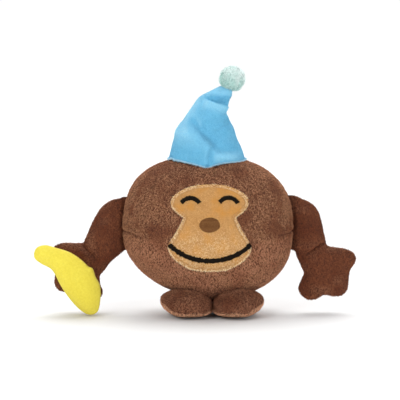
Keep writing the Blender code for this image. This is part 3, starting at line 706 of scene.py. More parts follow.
MINT_THREAD = thread_material("mint_thread", (172, 214, 207), (208, 236, 231), sheen=0.2)
LABEL_THREAD = thread_material("label_thread", (206, 206, 202), (232, 232, 228))
YELLOW_CLOTH = cloth_material("yellow_cloth", (216, 198, 62), (232, 216, 80), 0.15,
                              (255, 250, 200), relief=0.25)
YELLOW_PILE = pile_material("yellow_pile", (216, 202, 72), (228, 216, 90), (236, 228, 120), 0.15,
                            (255, 252, 215), patch=14.0, warm=(224, 204, 70))


def plastic_material():
    nodes = Nodes("squeaker_plastic", 0.35, specular=0.5)
    nodes.colour(nodes.mix(nodes.noise(9.0), (214, 214, 208), (232, 232, 228)))
    nodes.relief(nodes.noise(0.8, 3.0), 0.04)
    return nodes.material


def ribbon_material():
    nodes = Nodes("label_ribbon", 0.6, sheen=0.15, specular=0.4)
    weave = nodes.noise(0.4, 2.0, stretch=(1, 1, 6))
    nodes.colour(nodes.mix(weave, (196, 196, 190), (222, 222, 216)))
    nodes.relief(nodes.noise(0.3, 1.0, stretch=(6, 1, 1)), 0.05)
    return nodes.material


# ---- body

def body_radius(angle):
    power = BODY_POWER_MIDDLE + BODY_POWER_SWING * np.sin(angle)
    across = np.abs(np.cos(angle) / BODY_HALF_WIDTH) ** power
    up = np.abs(np.sin(angle) / BODY_HALF_HEIGHT) ** power
    return (across + up) ** (-1 / power)


def body_lean(height):
    return -BODY_LEAN * height * np.abs(height) / BODY_HALF_HEIGHT


def body_depth(x, z):
    height = z - BODY_CENTRE[1]
    across = x - BODY_CENTRE[0] - body_lean(height)
    share = np.hypot(across, height) / body_radius(np.arctan2(height, across))
    return BODY_HALF_DEPTH * np.sqrt(np.maximum(0.0, 1 - share * share))


def body_height(x, y, way):
    """The height of the body's top (way 1) or underside (way -1) above points of the plan."""
    low, high = np.zeros(len(x)), np.full(len(x), BODY_HALF_HEIGHT)
    for _ in range(30):
        middle = (low + high) / 2
        under = body_depth(x, BODY_CENTRE[1] + way * middle) > np.abs(y)
        low = np.where(under, middle, low)
        high = np.where(under, high, middle)
    return BODY_CENTRE[1] + way * low


def seam_line_y(points):
    """The side seam runs a little forward of the middle over the upper right of the toy's body."""
    angle = np.arctan2(points[:, 2] - BODY_CENTRE[1], points[:, 0])
    turned = np.abs(np.angle(np.exp(1j * (angle - math.radians(150)))))
    return -7.0 * (1 - step(0.25, 1.15, turned))


def tuck_line(points):
    """Height above the short level tucks at the two sides of the body, which slope a little."""
    x, _, z = points.T
    return z - 70.6 - 0.6 * np.sin(x * 0.35) - 0.12 * (np.abs(x) - 64)


def dart_line(points):
    """Distance across the dart below the middle of the hat."""
    x, _, z = points.T
    return x - 5.6 - 0.9 * np.sin((z - 112) * 0.5)


def body_relief(points):
    """How far the stuffed cloth stands out from the plain shape."""
    out = 0.75 * lattice_noise(points, 34.0, 3) + 0.35 * lattice_noise(points, 13.0, 4)
    out = out + 0.12 * lattice_noise(points, 5.0, 5)
    x, y, z = points.T
    low = step(62.0, 32.0, z)
    sides = 0.6 * step(10.0, 50.0, x) - 0.8 * step(-10.0, -50.0, x)
    out = out + 0.55 * step(70.0, 100.0, z) + low * sides
    front = y < 0
    # the body sags between the feet
    out = out + 2.6 * front * np.exp(-((x / 11.0) ** 2) - ((z - 21.0) / 8.0) ** 2)
    for side in (-1, 1):
        across = step(56.0, 66.0, side * x)
        line = tuck_line(points)
        tuck = 1.7 * bump(line, 1.0) - 0.5 * bump(line - 3.0, 2.0) - 0.3 * bump(line + 3.0, 2.0)
        out = out - across * tuck * front
    line = dart_line(points)
    along = step(117.0, 120.5, z) * (y < -5)
    dart = 1.5 * bump(line, 1.0) - 0.55 * bump(line - 2.6, 1.6) - 0.55 * bump(line + 2.6, 1.6)
    return out - along * dart


def body_normal(x, z):
    h = 0.05
    dx = (body_depth(x + h, z) - body_depth(x - h, z)) / (2 * h)
    dz = (body_depth(x, z + h) - body_depth(x, z - h)) / (2 * h)
    return unit(columns(-dx, -1.0, -dz))


def on_front(flat, lift):
    """Points of the front of the body above points of the front view, lifted off its surface."""
    x, z = flat.T
    base = columns(x, -body_depth(x, z), z)
    return base + body_normal(x, z) * (body_relief(base) + lift)[:, None]


def unit_ball(subdivisions):
    """The points and triangles of a ball of radius 1."""
    mesh = bpy.data.meshes.new("scratch")
    bm = bmesh.new()
    bmesh.ops.create_icosphere(bm, subdivisions=subdivisions, radius=1.0)
    bm.to_mesh(mesh)
    bm.free()
    verts = np.empty(len(mesh.vertices) * 3)
    mesh.vertices.foreach_get("co", verts)
    faces = np.empty(len(mesh.polygons) * 3, np.int32)
    mesh.polygons.foreach_get("vertices", faces)
    bpy.data.meshes.remove(mesh)
    return unit(verts.reshape(-1, 3)), faces.reshape(-1, 3)


def face_line(spacing):
    """The patch's outline. Its two halves are not quite equal."""
    def side(x, z, share, chin):
        return FACE_X + x * (share if z > -12 else chin), NOSE_Z + z - 0.9 * (z > 25)

    points = [side(x, z, 0.955, 0.985) for x, z in FACE_OUTLINE]
    points += [side(-x, z, 0.975, 1.0) for x, z in FACE_OUTLINE[-2:0:-1]]
    corners = [*FACE_CORNERS, *(len(points) - c for c in FACE_CORNERS)]
    return resample(closed_curve(points, corners), spacing)


def build_body():
    ball, faces = unit_ball(7)
    share = np.hypot(ball[:, 0], ball[:, 2])
    angle = np.arctan2(ball[:, 2], ball[:, 0])
    radius = body_radius(angle) * share
    height = radius * np.sin(angle)
    full_height = body_radius(angle) * np.sin(angle)
    x = BODY_CENTRE[0] + radius * np.cos(angle) + body_lean(full_height) * share
    base = columns(x, BODY_HALF_DEPTH * ball[:, 1], BODY_CENTRE[1] + height)
    normals = vertex_normals(base, faces)
    seam = base[:, 1] - seam_line_y(base)
    pucker = 1 + 0.25 * lattice_noise(base, 3.2, 9)
    groove = 0.85 * bump(seam, 1.1) - 0.25 * bump(np.abs(seam) - 3.0, 1.6)
    out = body_relief(base) - groove * pucker
    verts = base + normals * out[:, None]
    body = mesh_object("body_skin", verts, faces, BROWN_CLOTH)
    attach("torso", "body_plush", [body], "body_front_panel", "body_back_panel",
           "body_stuffing_front", "body_stuffing_back")
    patch, mouth = face_line(1.5), mouth_line()

    def outside_patch(root, normal):
        x, y, z = root.T
        spot = columns(x, z)
        front = y < -2
        # Clearing the pile along the tucks, the dart and the arm seams, and a little past the hat's
        # rim, bares the darker cloth as painted shade lines.
        tuck = front & (np.abs(x) > 58) & (np.abs(tuck_line(root)) < 0.55)
        dart = front & (z > 118.5) & (np.abs(dart_line(root)) < 0.6)
        arm = (np.abs(x) > 66) & (np.abs(y) < 2.2) & (z > 54) & (z < 101)
        covered = (y < 0) & (inside(spot, patch) | (line_distance(spot, mouth) < 2.2))
        near = edge_distance(spot, patch)[0]
        under_hat = (z > 120) & (((x + 1.3) / 33.0) ** 2 + (y / 22.9) ** 2 < 1)
        return np.where((covered & (near > 0.8)) | under_hat | tuck | dart | arm, 0.0, 1.0)

    def short_over_feet(root):
        return 1 - 0.45 * step(29.0, 23.0, root[:, 2]) * step(50.0, 42.0, np.abs(root[:, 0]))

    def painted_body_light(root, normal):
        """Painted light: paler below the side tucks, on faces turned up, and as a painted sheen
        along the side seam.
        """
        below = step(73.0, 60.0, root[:, 2] + 3 * lattice_noise(root, 15.0, 12))
        above = 0.3 * step(0.35, 0.8, normal[:, 2]) + 0.4 * step(16.0, 3.0, np.abs(root[:, 1]))
        patchy = 0.8 + 0.3 * lattice_noise(root, 9.0, 13)
        return np.clip((0.75 * below + above) * patchy, 0, 1)

    centre = base[faces].mean(axis=1)
    for name, half in (("front", centre[:, 1] < 0), ("back", centre[:, 1] >= 0)):
        pile = grow_pile(f"body_pile_{name}", verts, faces[half], BROWN_PILE, density=3.1,
                         length=1.8, width=0.38, seed=11, clump=1.1, lift=1.0,
                         keep=outside_patch, length_at=short_over_feet, pale_at=painted_body_light)
        attach("torso", "body_plush", [pile])


def build_face():
    line = face_line(0.9)
    flat, faces = fill_outline(line, 1.0, (0.4, 0.9, 1.5, 2.1, 2.8))
    distance, _, place = edge_distance(flat, line)
    lift = 0.6 + 0.9 * step(0.0, 4.0, distance) - 0.6 * bump(distance - 1.95, 0.55)
    lift += 0.12 * lattice_noise(columns(flat[:, 0], place, flat[:, 1]), 3.0, 21)
    lift += 0.25 * lattice_noise(columns(flat[:, 0], 0, flat[:, 1]), 9.0, 22)
    top = on_front(flat, lift)
    rim = np.arange(len(line))
    following = np.roll(rim, -1)
    skirt = on_front(flat[: len(line)], np.full(len(line), -0.4))
    count = len(top)
    below, next_below = count + rim, count + following
    sides = np.vstack([columns(rim, below, next_below), columns(rim, next_below, following)])
    verts = np.vstack([top, skirt])
    faces = np.vstack([faces[:, ::-1], sides[:, ::-1]])
    patch = mesh_object("face_patch_cloth", verts, faces, TAN_CLOTH)
    attach("torso", "tan_patch", [patch], "face_patch")
    nose = np.array([FACE_X, NOSE_Z])
    bands = [mouth_line(), *(eye_line(side) for side in (-1, 1))]

    def clear_of_threads(root, normal):
        spot = root[:, [0, 2]]
        keep = np.ones(len(root))
        away = (spot - nose) / np.array([8.6, 5.8])
        keep[np.linalg.norm(away, axis=1) < 1] = 0
        for band in bands:
            keep[line_distance(spot, band) < 1.8] = 0
        return keep

    def shorter_inside(root):
        near = edge_distance(root[:, [0, 2]], line)[0]
        return 0.8 + 0.4 * (near < 1.3) - 0.7 * bump(near - 1.9, 0.35)

    def paler(root, normal):
        spot = root[:, [0, 2]]
        near = edge_distance(spot, line)[0]
        chin = step(NOSE_Z + 4, NOSE_Z - 20, spot[:, 1])
        fresh = 0.3 * lattice_noise(root, 7.0, 24)
        edge = 0.9 * step(1.9, 1.3, near) - 0.8 * bump(near - 1.9, 0.4)
        return np.clip(edge + (0.65 + fresh) * chin, 0, 1)

    front = vertex_normals(verts, faces)[:, 1].mean() < 0
    pile = grow_pile("face_patch_pile", verts, faces if front else faces[:, ::-1], TAN_PILE,
                     density=4.6, length=1.5, width=0.34, seed=23, nap=(0.0, 0, -0.6), lift=0.6,
                     keep=clear_of_threads, length_at=shorter_inside, pale_at=paler)
    attach("torso", "tan_patch", [pile])
    build_stitches(line)
    build_embroidery()


def build_stitches(line):
    """The running stitch round the patch, just inside its edge."""
    moved = line + inward(line) * STITCH_INSET
    moved = resample(moved[edge_distance(moved, line)[0] > 2.3], 0.25)
    above = 0.3 + 1.5 * np.sqrt(np.sin(math.pi * np.linspace(0.02, 0.98, STITCH_POINTS)))
    starts = range(0, len(moved) - STITCH_POINTS, STITCH_POINTS + 1)
    stitches = [on_front(moved[start: start + STITCH_POINTS], above) for start in starts]
    thread = tubes("face_stitching", stitches, THREAD_RADIUS, TAN_THREAD)
    attach("torso", "tan_thread", [thread], "face_stitching_upper", "face_stitching_chin")


def arc(middle_x, half_width, end_z, middle_z, steps):
    """Part of a circle, level at its middle."""
    rise = middle_z - end_z
    radius = (half_width**2 + rise**2) / (2 * abs(rise))
    angle = math.asin(half_width / radius) * np.linspace(-1, 1, steps)
    drop = radius * (1 - np.cos(angle))
    return columns(middle_x + radius * np.sin(angle), middle_z - math.copysign(1, rise) * drop)


def satin(name, line, width, pitch, seed, slant=0.25, ragged=0.11):
    """A band of satin stitch along a line on the face: threads side by side, with ragged ends."""
    rng = np.random.default_rng(seed)
    along = run_length(line)
    count = int(along[-1] / pitch)
    at = (np.arange(count) + 0.5) * along[-1] / count
    spot = np.stack([np.interp(at, along, line[:, k]) for k in range(2)], axis=1)
    way = unit(np.gradient(spot, axis=0))
    across = columns(-way[:, 1], way[:, 0])
    shares = np.linspace(-1, 1, 9)
    reach = width / 2 * (1 + ragged * rng.normal(size=(count, 1)))
    flat = (
        spot[:, None, :]
        + across[:, None, :] * (shares[None, :] * reach)[..., None]
        + way[:, None, :] * (slant * shares[None, :, None])
    )
    lift = 1.3 + SATIN_HEIGHT * np.sqrt(np.maximum(0, 1 - shares**2))
    lift = lift + 0.04 * rng.normal(size=(count, 1))
    points = on_front(flat.reshape(-1, 2), np.broadcast_to(lift, (count, 9)).reshape(-1))
    return tubes(name, points.reshape(count, 9, 3), pitch * 0.62, BLACK_THREAD)


def mouth_line():
    half_width, end, middle = MOUTH_ARC
    return arc(FACE_X, half_width, NOSE_Z + end, NOSE_Z + middle, 60)


def eye_line(side):
    half_width, end, middle = EYE_ARC
    line = arc(FACE_X + side * EYE_X - 0.3, half_width, NOSE_Z + end, NOSE_Z + middle, 30)
    # the left one slopes a little
    line[:, 1] -= 0.06 * (side > 0) * (line[:, 0] - FACE_X - EYE_X)
    return line


def build_embroidery():
    mouth = satin("mouth_satin", mouth_line(), MOUTH_WIDTH, pitch=0.8, seed=41, ragged=0.17)
    attach("torso", "black_thread", [mouth], "mouth_embroidery")
    for name, side in (("left", 1), ("right", -1)):
        eye = satin(f"eye_satin_{name}", eye_line(side), EYE_WIDTH, pitch=0.5, seed=42 + side)
        attach("torso", "black_thread", [eye], f"eye_embroidery_{name}")
    build_nose()


def build_nose():
    """The oval nose: level threads, close together, over a low pad."""
    rng = np.random.default_rng(45)
    half_width, half_height = NOSE_HALF_SIZE
    rows = np.arange(-half_height + 0.15, half_height, 0.26)
    shares = np.linspace(-1, 1, 13)
    lines = []
    for row in rows:
        reach = half_width * math.sqrt(1 - (row / half_height) ** 2) * (1 + 0.03 * rng.normal())
        x = FACE_X + reach * shares
        z = NOSE_Z + row + 0.06 * rng.normal() + 0.15 * shares
        off = (shares * reach / half_width) ** 2
        pad = np.sqrt(np.maximum(0, 1 - off - (row / half_height) ** 2))
        lines.append(on_front(columns(x, z), 1.2 + 1.1 * pad))
    thread = tubes("nose_satin", lines, 0.22, NOSE_THREAD)
    attach("torso", "nose_thread", [thread], "nose_embroidery")


# ---- pillows

def pillow(line, half_depth, seed, middle_y=0.0, groove=0.3, thick_at=None):
    """A stuffed shape of two equal panels, sewn along its outline in the front view."""
    flat, faces = fill_outline(line, 1.3, (0.3, 0.65, 1.1, 1.7, 2.5))
    distance, nearest, place = edge_distance(flat, line)
    swell = swelling(line)
    far = distance[:, None]
    towards = np.where(far > 1e-6, (flat - nearest) / np.maximum(far, 1e-6), 0.0)
    # the panels leave the seam in a round, whatever the field says so close to it
    reach = 2.6
    probe = flat + towards * np.maximum(0.0, reach - distance)[:, None]
    field = swell(probe)
    rounded = field * (distance * (24 - distance)) / (reach * (24 - reach))
    field = np.where(distance < reach, rounded, field)
    height = half_depth * np.sqrt(np.maximum(field, 0))
    if thick_at is not None:
        height = height * thick_at(flat)
    edge = np.arange(len(line))
    outward = -towards
    # the edge points have no nearest-point direction of their own
    outward[edge] = -inward(line)
    ripple = 1 + 0.5 * lattice_noise(columns(place, 0, 0), 3.4, seed)
    wanted = groove * (1 - step(0.0, 0.75, distance)) * ripple
    shift = -wanted + np.minimum(distance, 0.65) * (distance < 2.2) * (1 - step(0.9, 2.2, distance))
    placed = flat + outward * shift[:, None]
    count = len(flat)
    sheets = []
    for side in (-1, 1):
        lumps = columns(flat[:, 0], 40.0 * side, flat[:, 1])
        soft = 1 + 0.10 * lattice_noise(lumps, 16.0, seed + 1)
        soft = soft + 0.05 * lattice_noise(lumps, 6.0, seed + 2)
        along = columns(place, 40.0 * side, 0)
        soft = soft + 0.10 * np.exp(-distance / 4.0) * lattice_noise(along, 4.5, seed + 3)
        sheets.append(columns(placed[:, 0], middle_y + side * height * soft, placed[:, 1]))
    front, back = sheets
    inner = np.arange(len(line), count)
    renumber = np.arange(count)
    renumber[inner] = count + np.arange(len(inner))
    verts = np.vstack([front, back[inner]])
    verts[edge, 1] = middle_y
    # counterclockwise triangles of the front view (x right, z up) face -Y
    return verts, np.vstack([faces, renumber[faces][:, ::-1]])


def eased(line, pushes):
    """A line pushed aside here and there: each push has a middle, a reach and a way."""
    for spot, reach, push in pushes:
        away = np.linalg.norm(line - np.array(spot), axis=1) / reach
        line = line + np.exp(-away * away)[:, None] * np.array(push)
    return line


def arm_point(arm, point):
    """A point of the pattern of an arm, where that arm has it."""
    _, side, turn, stretch, shift = arm
    angle = math.radians(turn)
    x, z = point
    turned_x = (x * math.cos(angle) - z * math.sin(angle)) * stretch + shift[0]
    turned_z = (x * math.sin(angle) + z * math.cos(angle)) * stretch + shift[1]
    return np.array([side * (SHOULDER[0] + turned_x), SHOULDER[1] + turned_z])


def build_arm(arm):
    name, side = arm[:2]
    shoulder_low, shoulder_high = (np.array([side * x, z]) for x, z in SHOULDER_LINE)
    tuck = np.array([-side * 6.0, 0.0])
    points = [shoulder_high + tuck, shoulder_high]
    points += [arm_point(arm, p) for p in UPPER_ARM_TOP]
    points += [arm_point(arm, WRIST_TOP)]
    points += [arm_point(arm, p) for p in HAND_OUTLINE]
    shoulder_low = shoulder_low + np.array([0.0, -1.6])
    points += [arm_point(arm, WRIST_BOTTOM), shoulder_low, shoulder_low + tuck]
    last = len(points) - 1
    line = resample(closed_curve(points, corners=(0, last)), 1.2)
    line = eased(line, ARM_EASE[name])
    wrist_high, wrist_low = arm_point(arm, WRIST_TOP), arm_point(arm, WRIST_BOTTOM)
    middle = (wrist_high + wrist_low) / 2
    way = unit(wrist_high - wrist_low)
    to_hand = np.array([way[1], -way[0]]) * side

    def thick_at(flat):
        from_shoulder = flat[:, 0] * side - 71.0
        taper = 0.1 + 0.55 * step(1.2, 4.6, from_shoulder) + 0.35 * step(2.0, 22.0, from_shoulder)
        past_wrist = (flat - middle) @ to_hand
        across = (flat - wrist_high) @ -way
        crease = 0.42 * bump(past_wrist, 3.4) * (0.55 + 0.45 * (1 - step(0.0, 24.0, across)))
        hand = 1 - 0.12 * step(0.0, 14.0, past_wrist)
        fold, t = fold_distance(flat, ARM_FOLD[name], 0.6, 7.0)
        depth = 0.5 * (1 - 0.6 * np.clip(t, 0, 1)) * step(-0.4, 0.0, t) * step(1.25, 0.6, t)
        crease = 0.5 * crease + depth * (bump(fold, 1.3) - 0.22 * bump(np.abs(fold) - 3.4, 2.2))
        return taper * (1 - crease) * hand

    verts, faces = pillow(line, ARM_HALF_DEPTH, seed=60 + side, thick_at=thick_at)
    skin = mesh_object(f"arm_{name}_skin", verts, faces, LIMB_CLOTH)

    def open_creases(root, normal):
        # Clearing the pile next to the body and along the wrist crease bares the darker cloth as
        # painted shade lines.
        slot = np.abs(root[:, 0]) < 71.9
        fold, t = fold_distance(root[:, [0, 2]], ARM_FOLD[name], 0.6, 7.0)
        creased = (np.abs(fold) < 0.6) & (t > -0.2) & (t < 0.75) & (root[:, 1] < -2)
        return np.where(slot | creased, 0.0, 1.0)

    def painted_light_and_mottle(root, normal):
        # painted light and shade: paler on faces turned up, painted shade along the wrist crease,
        # and random mottling
        fold, t = segment_distance(root[:, [0, 2]], *ARM_FOLD[name])
        shaded = 1 - bump(fold, 3.0) * step(-0.5, 0.0, t) * step(1.3, 0.9, t)
        painted_lightness = 0.25 * step(0.3, 0.9, normal[:, 2]) + 0.18 * lattice_noise(root, 10.0, 71)
        return np.clip(painted_lightness * shaded, 0, 1)

    pile = grow_pile(f"arm_{name}_pile", verts, faces, LIMB_PILE, **LIMB_FIBRES, seed=70 + side,
                     keep=open_creases, pale_at=painted_light_and_mottle)
    bodies = (f"upper_arm_{name}", f"hand_{name}")
    nodes = [f"{body}_{layer}" for body in bodies for layer in ("front", "back", "stuffing")]
    start, end = ((x, 0.0, z) for x, z in (middle - to_hand * 6, middle + to_hand * 6))
    bend(bodies, "limb_plush", [skin, pile], start, end, *nodes)


def build_banana():
    line = resample(closed_curve(BANANA_OUTLINE), 1.1)
    line = eased(line, BANANA_EASE) + np.array([-0.4, 0.0])
    verts, faces = pillow(line, BANANA_HALF_DEPTH, seed=81, middle_y=BANANA_Y, groove=0.4)
    skin = mesh_object("banana_skin", verts, faces, YELLOW_CLOTH)
    pile = grow_pile("banana_pile", verts, faces, YELLOW_PILE, density=3.2, length=1.1, width=0.3,
                     seed=83, lift=0.55)
    attach("banana", "yellow_plush", [skin, pile], "banana_front", "banana_back", "banana_stuffing")


# ---- feet

def foot_seam(outward):
    """The height of the seam round a foot: low all round and turned up at its outer end."""
    return 5.4 + 7.0 * step(0.25, 1.0, outward)


def build_foot(name, x):
    """A pillow of an upper and a sole, pressed flat by the floor and the body."""
    side = 1 if x > 0 else -1
    ball, faces = unit_ball(6)
    share = np.hypot(ball[:, 0], ball[:, 1])
    angle = np.arctan2(ball[:, 1], ball[:, 0])
    up = ball[:, 2] >= 0
    outward = np.cos(angle) * side
    # blunter on the side where the two feet press against each other
    blunt = 2 + 1.2 * step(0.0, -0.7, outward)
    reach = (np.abs(np.cos(angle)) ** blunt + np.abs(np.sin(angle)) ** blunt) ** (-1 / blunt)
    plan_x = x + (FOOT_SIZE[0] + 0.5) * share * reach * np.cos(angle)
    plan_x = plan_x - (0.4 if side > 0 else 1.0) * side * share
    plan_y = FOOT_Y + FOOT_SIZE[1] * share * reach * np.sin(angle)
    seam_z = foot_seam(outward * share)
    rise = np.maximum(0, 1 - share**2) ** (0.5 + 0.14 * step(0.1, 0.9, outward))
    under = body_height(plan_x, plan_y, -1) - seam_z - 0.6
    top = soft_min((FOOT_TOP - seam_z) * rise, under, 1.5)
    # the sole curls up more towards the front
    curl = 0.8 + 0.15 * step(0.1, 0.9, outward) + 0.35 * step(0.0, -0.8, np.sin(angle))
    hollow = seam_z * (1 - np.maximum(0, 1 - share**2) ** curl) - 0.7
    sole = np.maximum(hollow + 0.7 * step(0.8, 1.0, share), FOOT_LOWEST)
    z = np.where(up, seam_z + np.maximum(top, 0), sole)
    base = columns(plan_x, plan_y, z)
    normals = vertex_normals(base, faces)
    ripple = 1 + 0.5 * lattice_noise(columns(angle * 25, 0, 0), 3.4, 91)
    seam = np.where(up, 1.0, -1.0) * (1 - share) * 40
    out = -0.9 * bump(seam, 1.6) * ripple + 0.3 * bump(np.abs(seam) - 5.0, 3.0)
    lumps = 0.5 * lattice_noise(base, 12.0, 92) + 0.25 * lattice_noise(base, 5.0, 93)
    out += lumps * step(1.5, 6.0, z)
    verts = base + normals * out[:, None]
    verts[:, 2] = np.maximum(verts[:, 2], FOOT_LOWEST)
    skin = mesh_object(f"foot_{name}_skin", verts, faces, LIMB_CLOTH)

    def off_floor(root, normal):
        # clearing the pile where the foot presses against the body bares the darker cloth as a
        # painted shade line
        pressed = body_height(root[:, 0], root[:, 1], -1) - root[:, 2] < 0.8
        return np.where((root[:, 2] < 1.0) | (pressed & (normal[:, 2] > 0)), 0.0, 1.0)

    def sole_band(root, normal):
        seam = foot_seam(side * (root[:, 0] - x) / FOOT_SIZE[0])
        band = step(2.2, 0.2, root[:, 2] - seam)
        return np.clip(0.22 + 0.95 * band + 0.2 * lattice_noise(root, 8.0, 95), 0, 1)

    def short_below(root):
        return 0.55 + 0.45 * step(1.0, 7.0, root[:, 2])

    pile = grow_pile(f"foot_{name}_pile", verts, faces, LIMB_PILE, **LIMB_FIBRES, seed=94,
                     keep=off_floor, length_at=short_below, pale_at=sole_band)
    lift_pile(pile)
    sewn, free = ((x, FOOT_Y, z) for z in FOOT_BENDS)
    bend(("torso", f"foot_{name}"), "limb_plush", [skin, pile], sewn, free,
         *(f"foot_{name}_{layer}" for layer in ("upper", "sole", "stuffing")))


def lift_pile(pile):
    """No fibre reaches into the floor."""
    points = np.empty(len(pile.data.vertices) * 3, np.float32)
    pile.data.vertices.foreach_get("co", points)
    points[2::3] = np.maximum(points[2::3], 0.1 * MM)
    pile.data.vertices.foreach_set("co", points)
    pile.data.update()


def soft_min(first, second, width):
    """The smaller of two numbers, with a round where they meet."""
    share = np.clip(0.5 + 0.5 * (second - first) / width, 0, 1)
    return second * (1 - share) + first * share - width * share * (1 - share)


# ---- hat and pompom

def hat_rows(count):
    """The hat's left points, right points and half depths, spread evenly up its middle."""
    lefts, rights, depths = (np.array(column) for column in zip(*HAT_STATIONS))
    along = run_length((lefts + rights) / 2)
    at = np.linspace(0, along[-1], count)

    def smooth(values):
        slopes = np.gradient(values, along, axis=0)
        i = np.clip(np.searchsorted(along, at, side="right") - 1, 0, len(along) - 2)
        h = along[i + 1] - along[i]
        t = (at - along[i]) / h
        if values.ndim == 2:
            t, h = t[:, None], h[:, None]
        return hermite(t, values[i], slopes[i] * h, values[i + 1], slopes[i + 1] * h)

    return smooth(lefts), smooth(rights), smooth(depths)


def hat_surface(sides=220, rows=150, skirt=26):
    """The smooth hat as rings of points: from the rim to the lowest station, then on up."""
    angle = 2 * math.pi * np.arange(sides) / sides
    cos, sin = np.cos(angle), np.sin(angle)
    rim_x = HAT_RIM[0] + 0.4 + (HAT_RIM[1] + 0.2) * cos
    rim_y = HAT_RIM[2] * sin
    rim = columns(rim_x, rim_y, body_height(rim_x, rim_y, 1) + 1.5)
    lefts, rights, depths = hat_rows(rows)
    rings = []
    for left, right, depth in zip(lefts, rights, depths):
        full = step(150.0, 160.0, right[1]) * step(190.0, 176.0, right[1])
        right = right + np.array([0.9, -0.1]) * full
        right = right - np.array([1.3, 0.0]) * bump(right[1] - 171.5, 2.6)
        spot = (left + right) / 2 + ((right - left) / 2)[None] * cos[:, None]
        rings.append(columns(spot[:, 0], depth * sin, spot[:, 1]))
    lowest = rings[0]
    lower = [rim + (lowest - rim) * k / skirt for k in range(skirt)]
    return np.array(lower + rings)


def hat_folds(points):
    """How far the creased cloth stands out from the smooth hat."""
    x, y, z = points.T
    flat = columns(x, z)
    out = 0.5 * lattice_noise(points, 15.0, 101) + 0.2 * lattice_noise(points, 6.0, 102)
    front = step(1.0, -6.0, y)
    # the tip is tucked behind the edge of the fold
    above, t = fold_distance(flat, HAT_TIP_FOLD, 0.5, 6.0)
    within = step(-0.1, 0.25, t)
    tucked = 4.2 * step(-0.5, 0.4, above) * step(9.0, 0.6, above)
    out = out + front * within * (2.4 * step(0.4, -0.5, above) * step(-12.0, -1.0, above) - tucked)
    # the long valley down the middle and the ridge beside it
    above, t = fold_distance(flat, HAT_VALLEY, 0.8, 5.0)
    within = step(-0.15, 0.2, t) * step(1.15, 0.8, t)
    out = out + front * within * (2.4 * bump(above + 5.5, 5.0) - 3.2 * bump(above - 1.8, 3.8))
    # the hollow to its right
    out = out - front * 3.4 * np.exp(-(((x - 5.5) / 9.0) ** 2 + ((z - 156.0) / 11.0) ** 2))
    # the pleat at the front of the rim, and the level fold to its right
    above, t = fold_distance(flat, HAT_PLEAT, 0.5, 6.0)
    within = step(-0.2, 0.3, t) * (0.45 + 0.55 * step(1.0, 0.4, t))
    pleat = 1.2 * bump(above - 4.0, 3.2) + 0.9 * bump(above + 4.0, 3.4) - 2.0 * bump(above, 2.2)
    out = out + front * within * pleat
    above, t = segment_distance(flat, *HAT_LEVEL_FOLD)
    within = step(-0.1, 0.35, t) * step(1.15, 0.7, t)
    out = out + front * within * (1.7 * bump(above + 4.6, 4.0) - 1.7 * bump(above - 2.0, 3.4))
    # soft buckles over the rest
    off, t = segment_distance(flat, *HAT_BUCKLES[0])
    out = out + front * 0.8 * bump(off, 5.0) * step(0, 0.3, t) * step(1.2, 0.8, t)
    off, t = segment_distance(flat, *HAT_BUCKLES[1])
    out = out - front * 1.1 * bump(off, 1.8) * step(0, 0.2, t) * step(1.1, 0.8, t)
    off, t = segment_distance(flat, *HAT_BUCKLES[2])
    fold = (1.2 * bump(off, 4.0) - 1.0 * bump(off - 7.0, 3.5)) * step(0, 0.3, t) * step(1.1, 0.8, t)
    return out + (1 - front) * fold


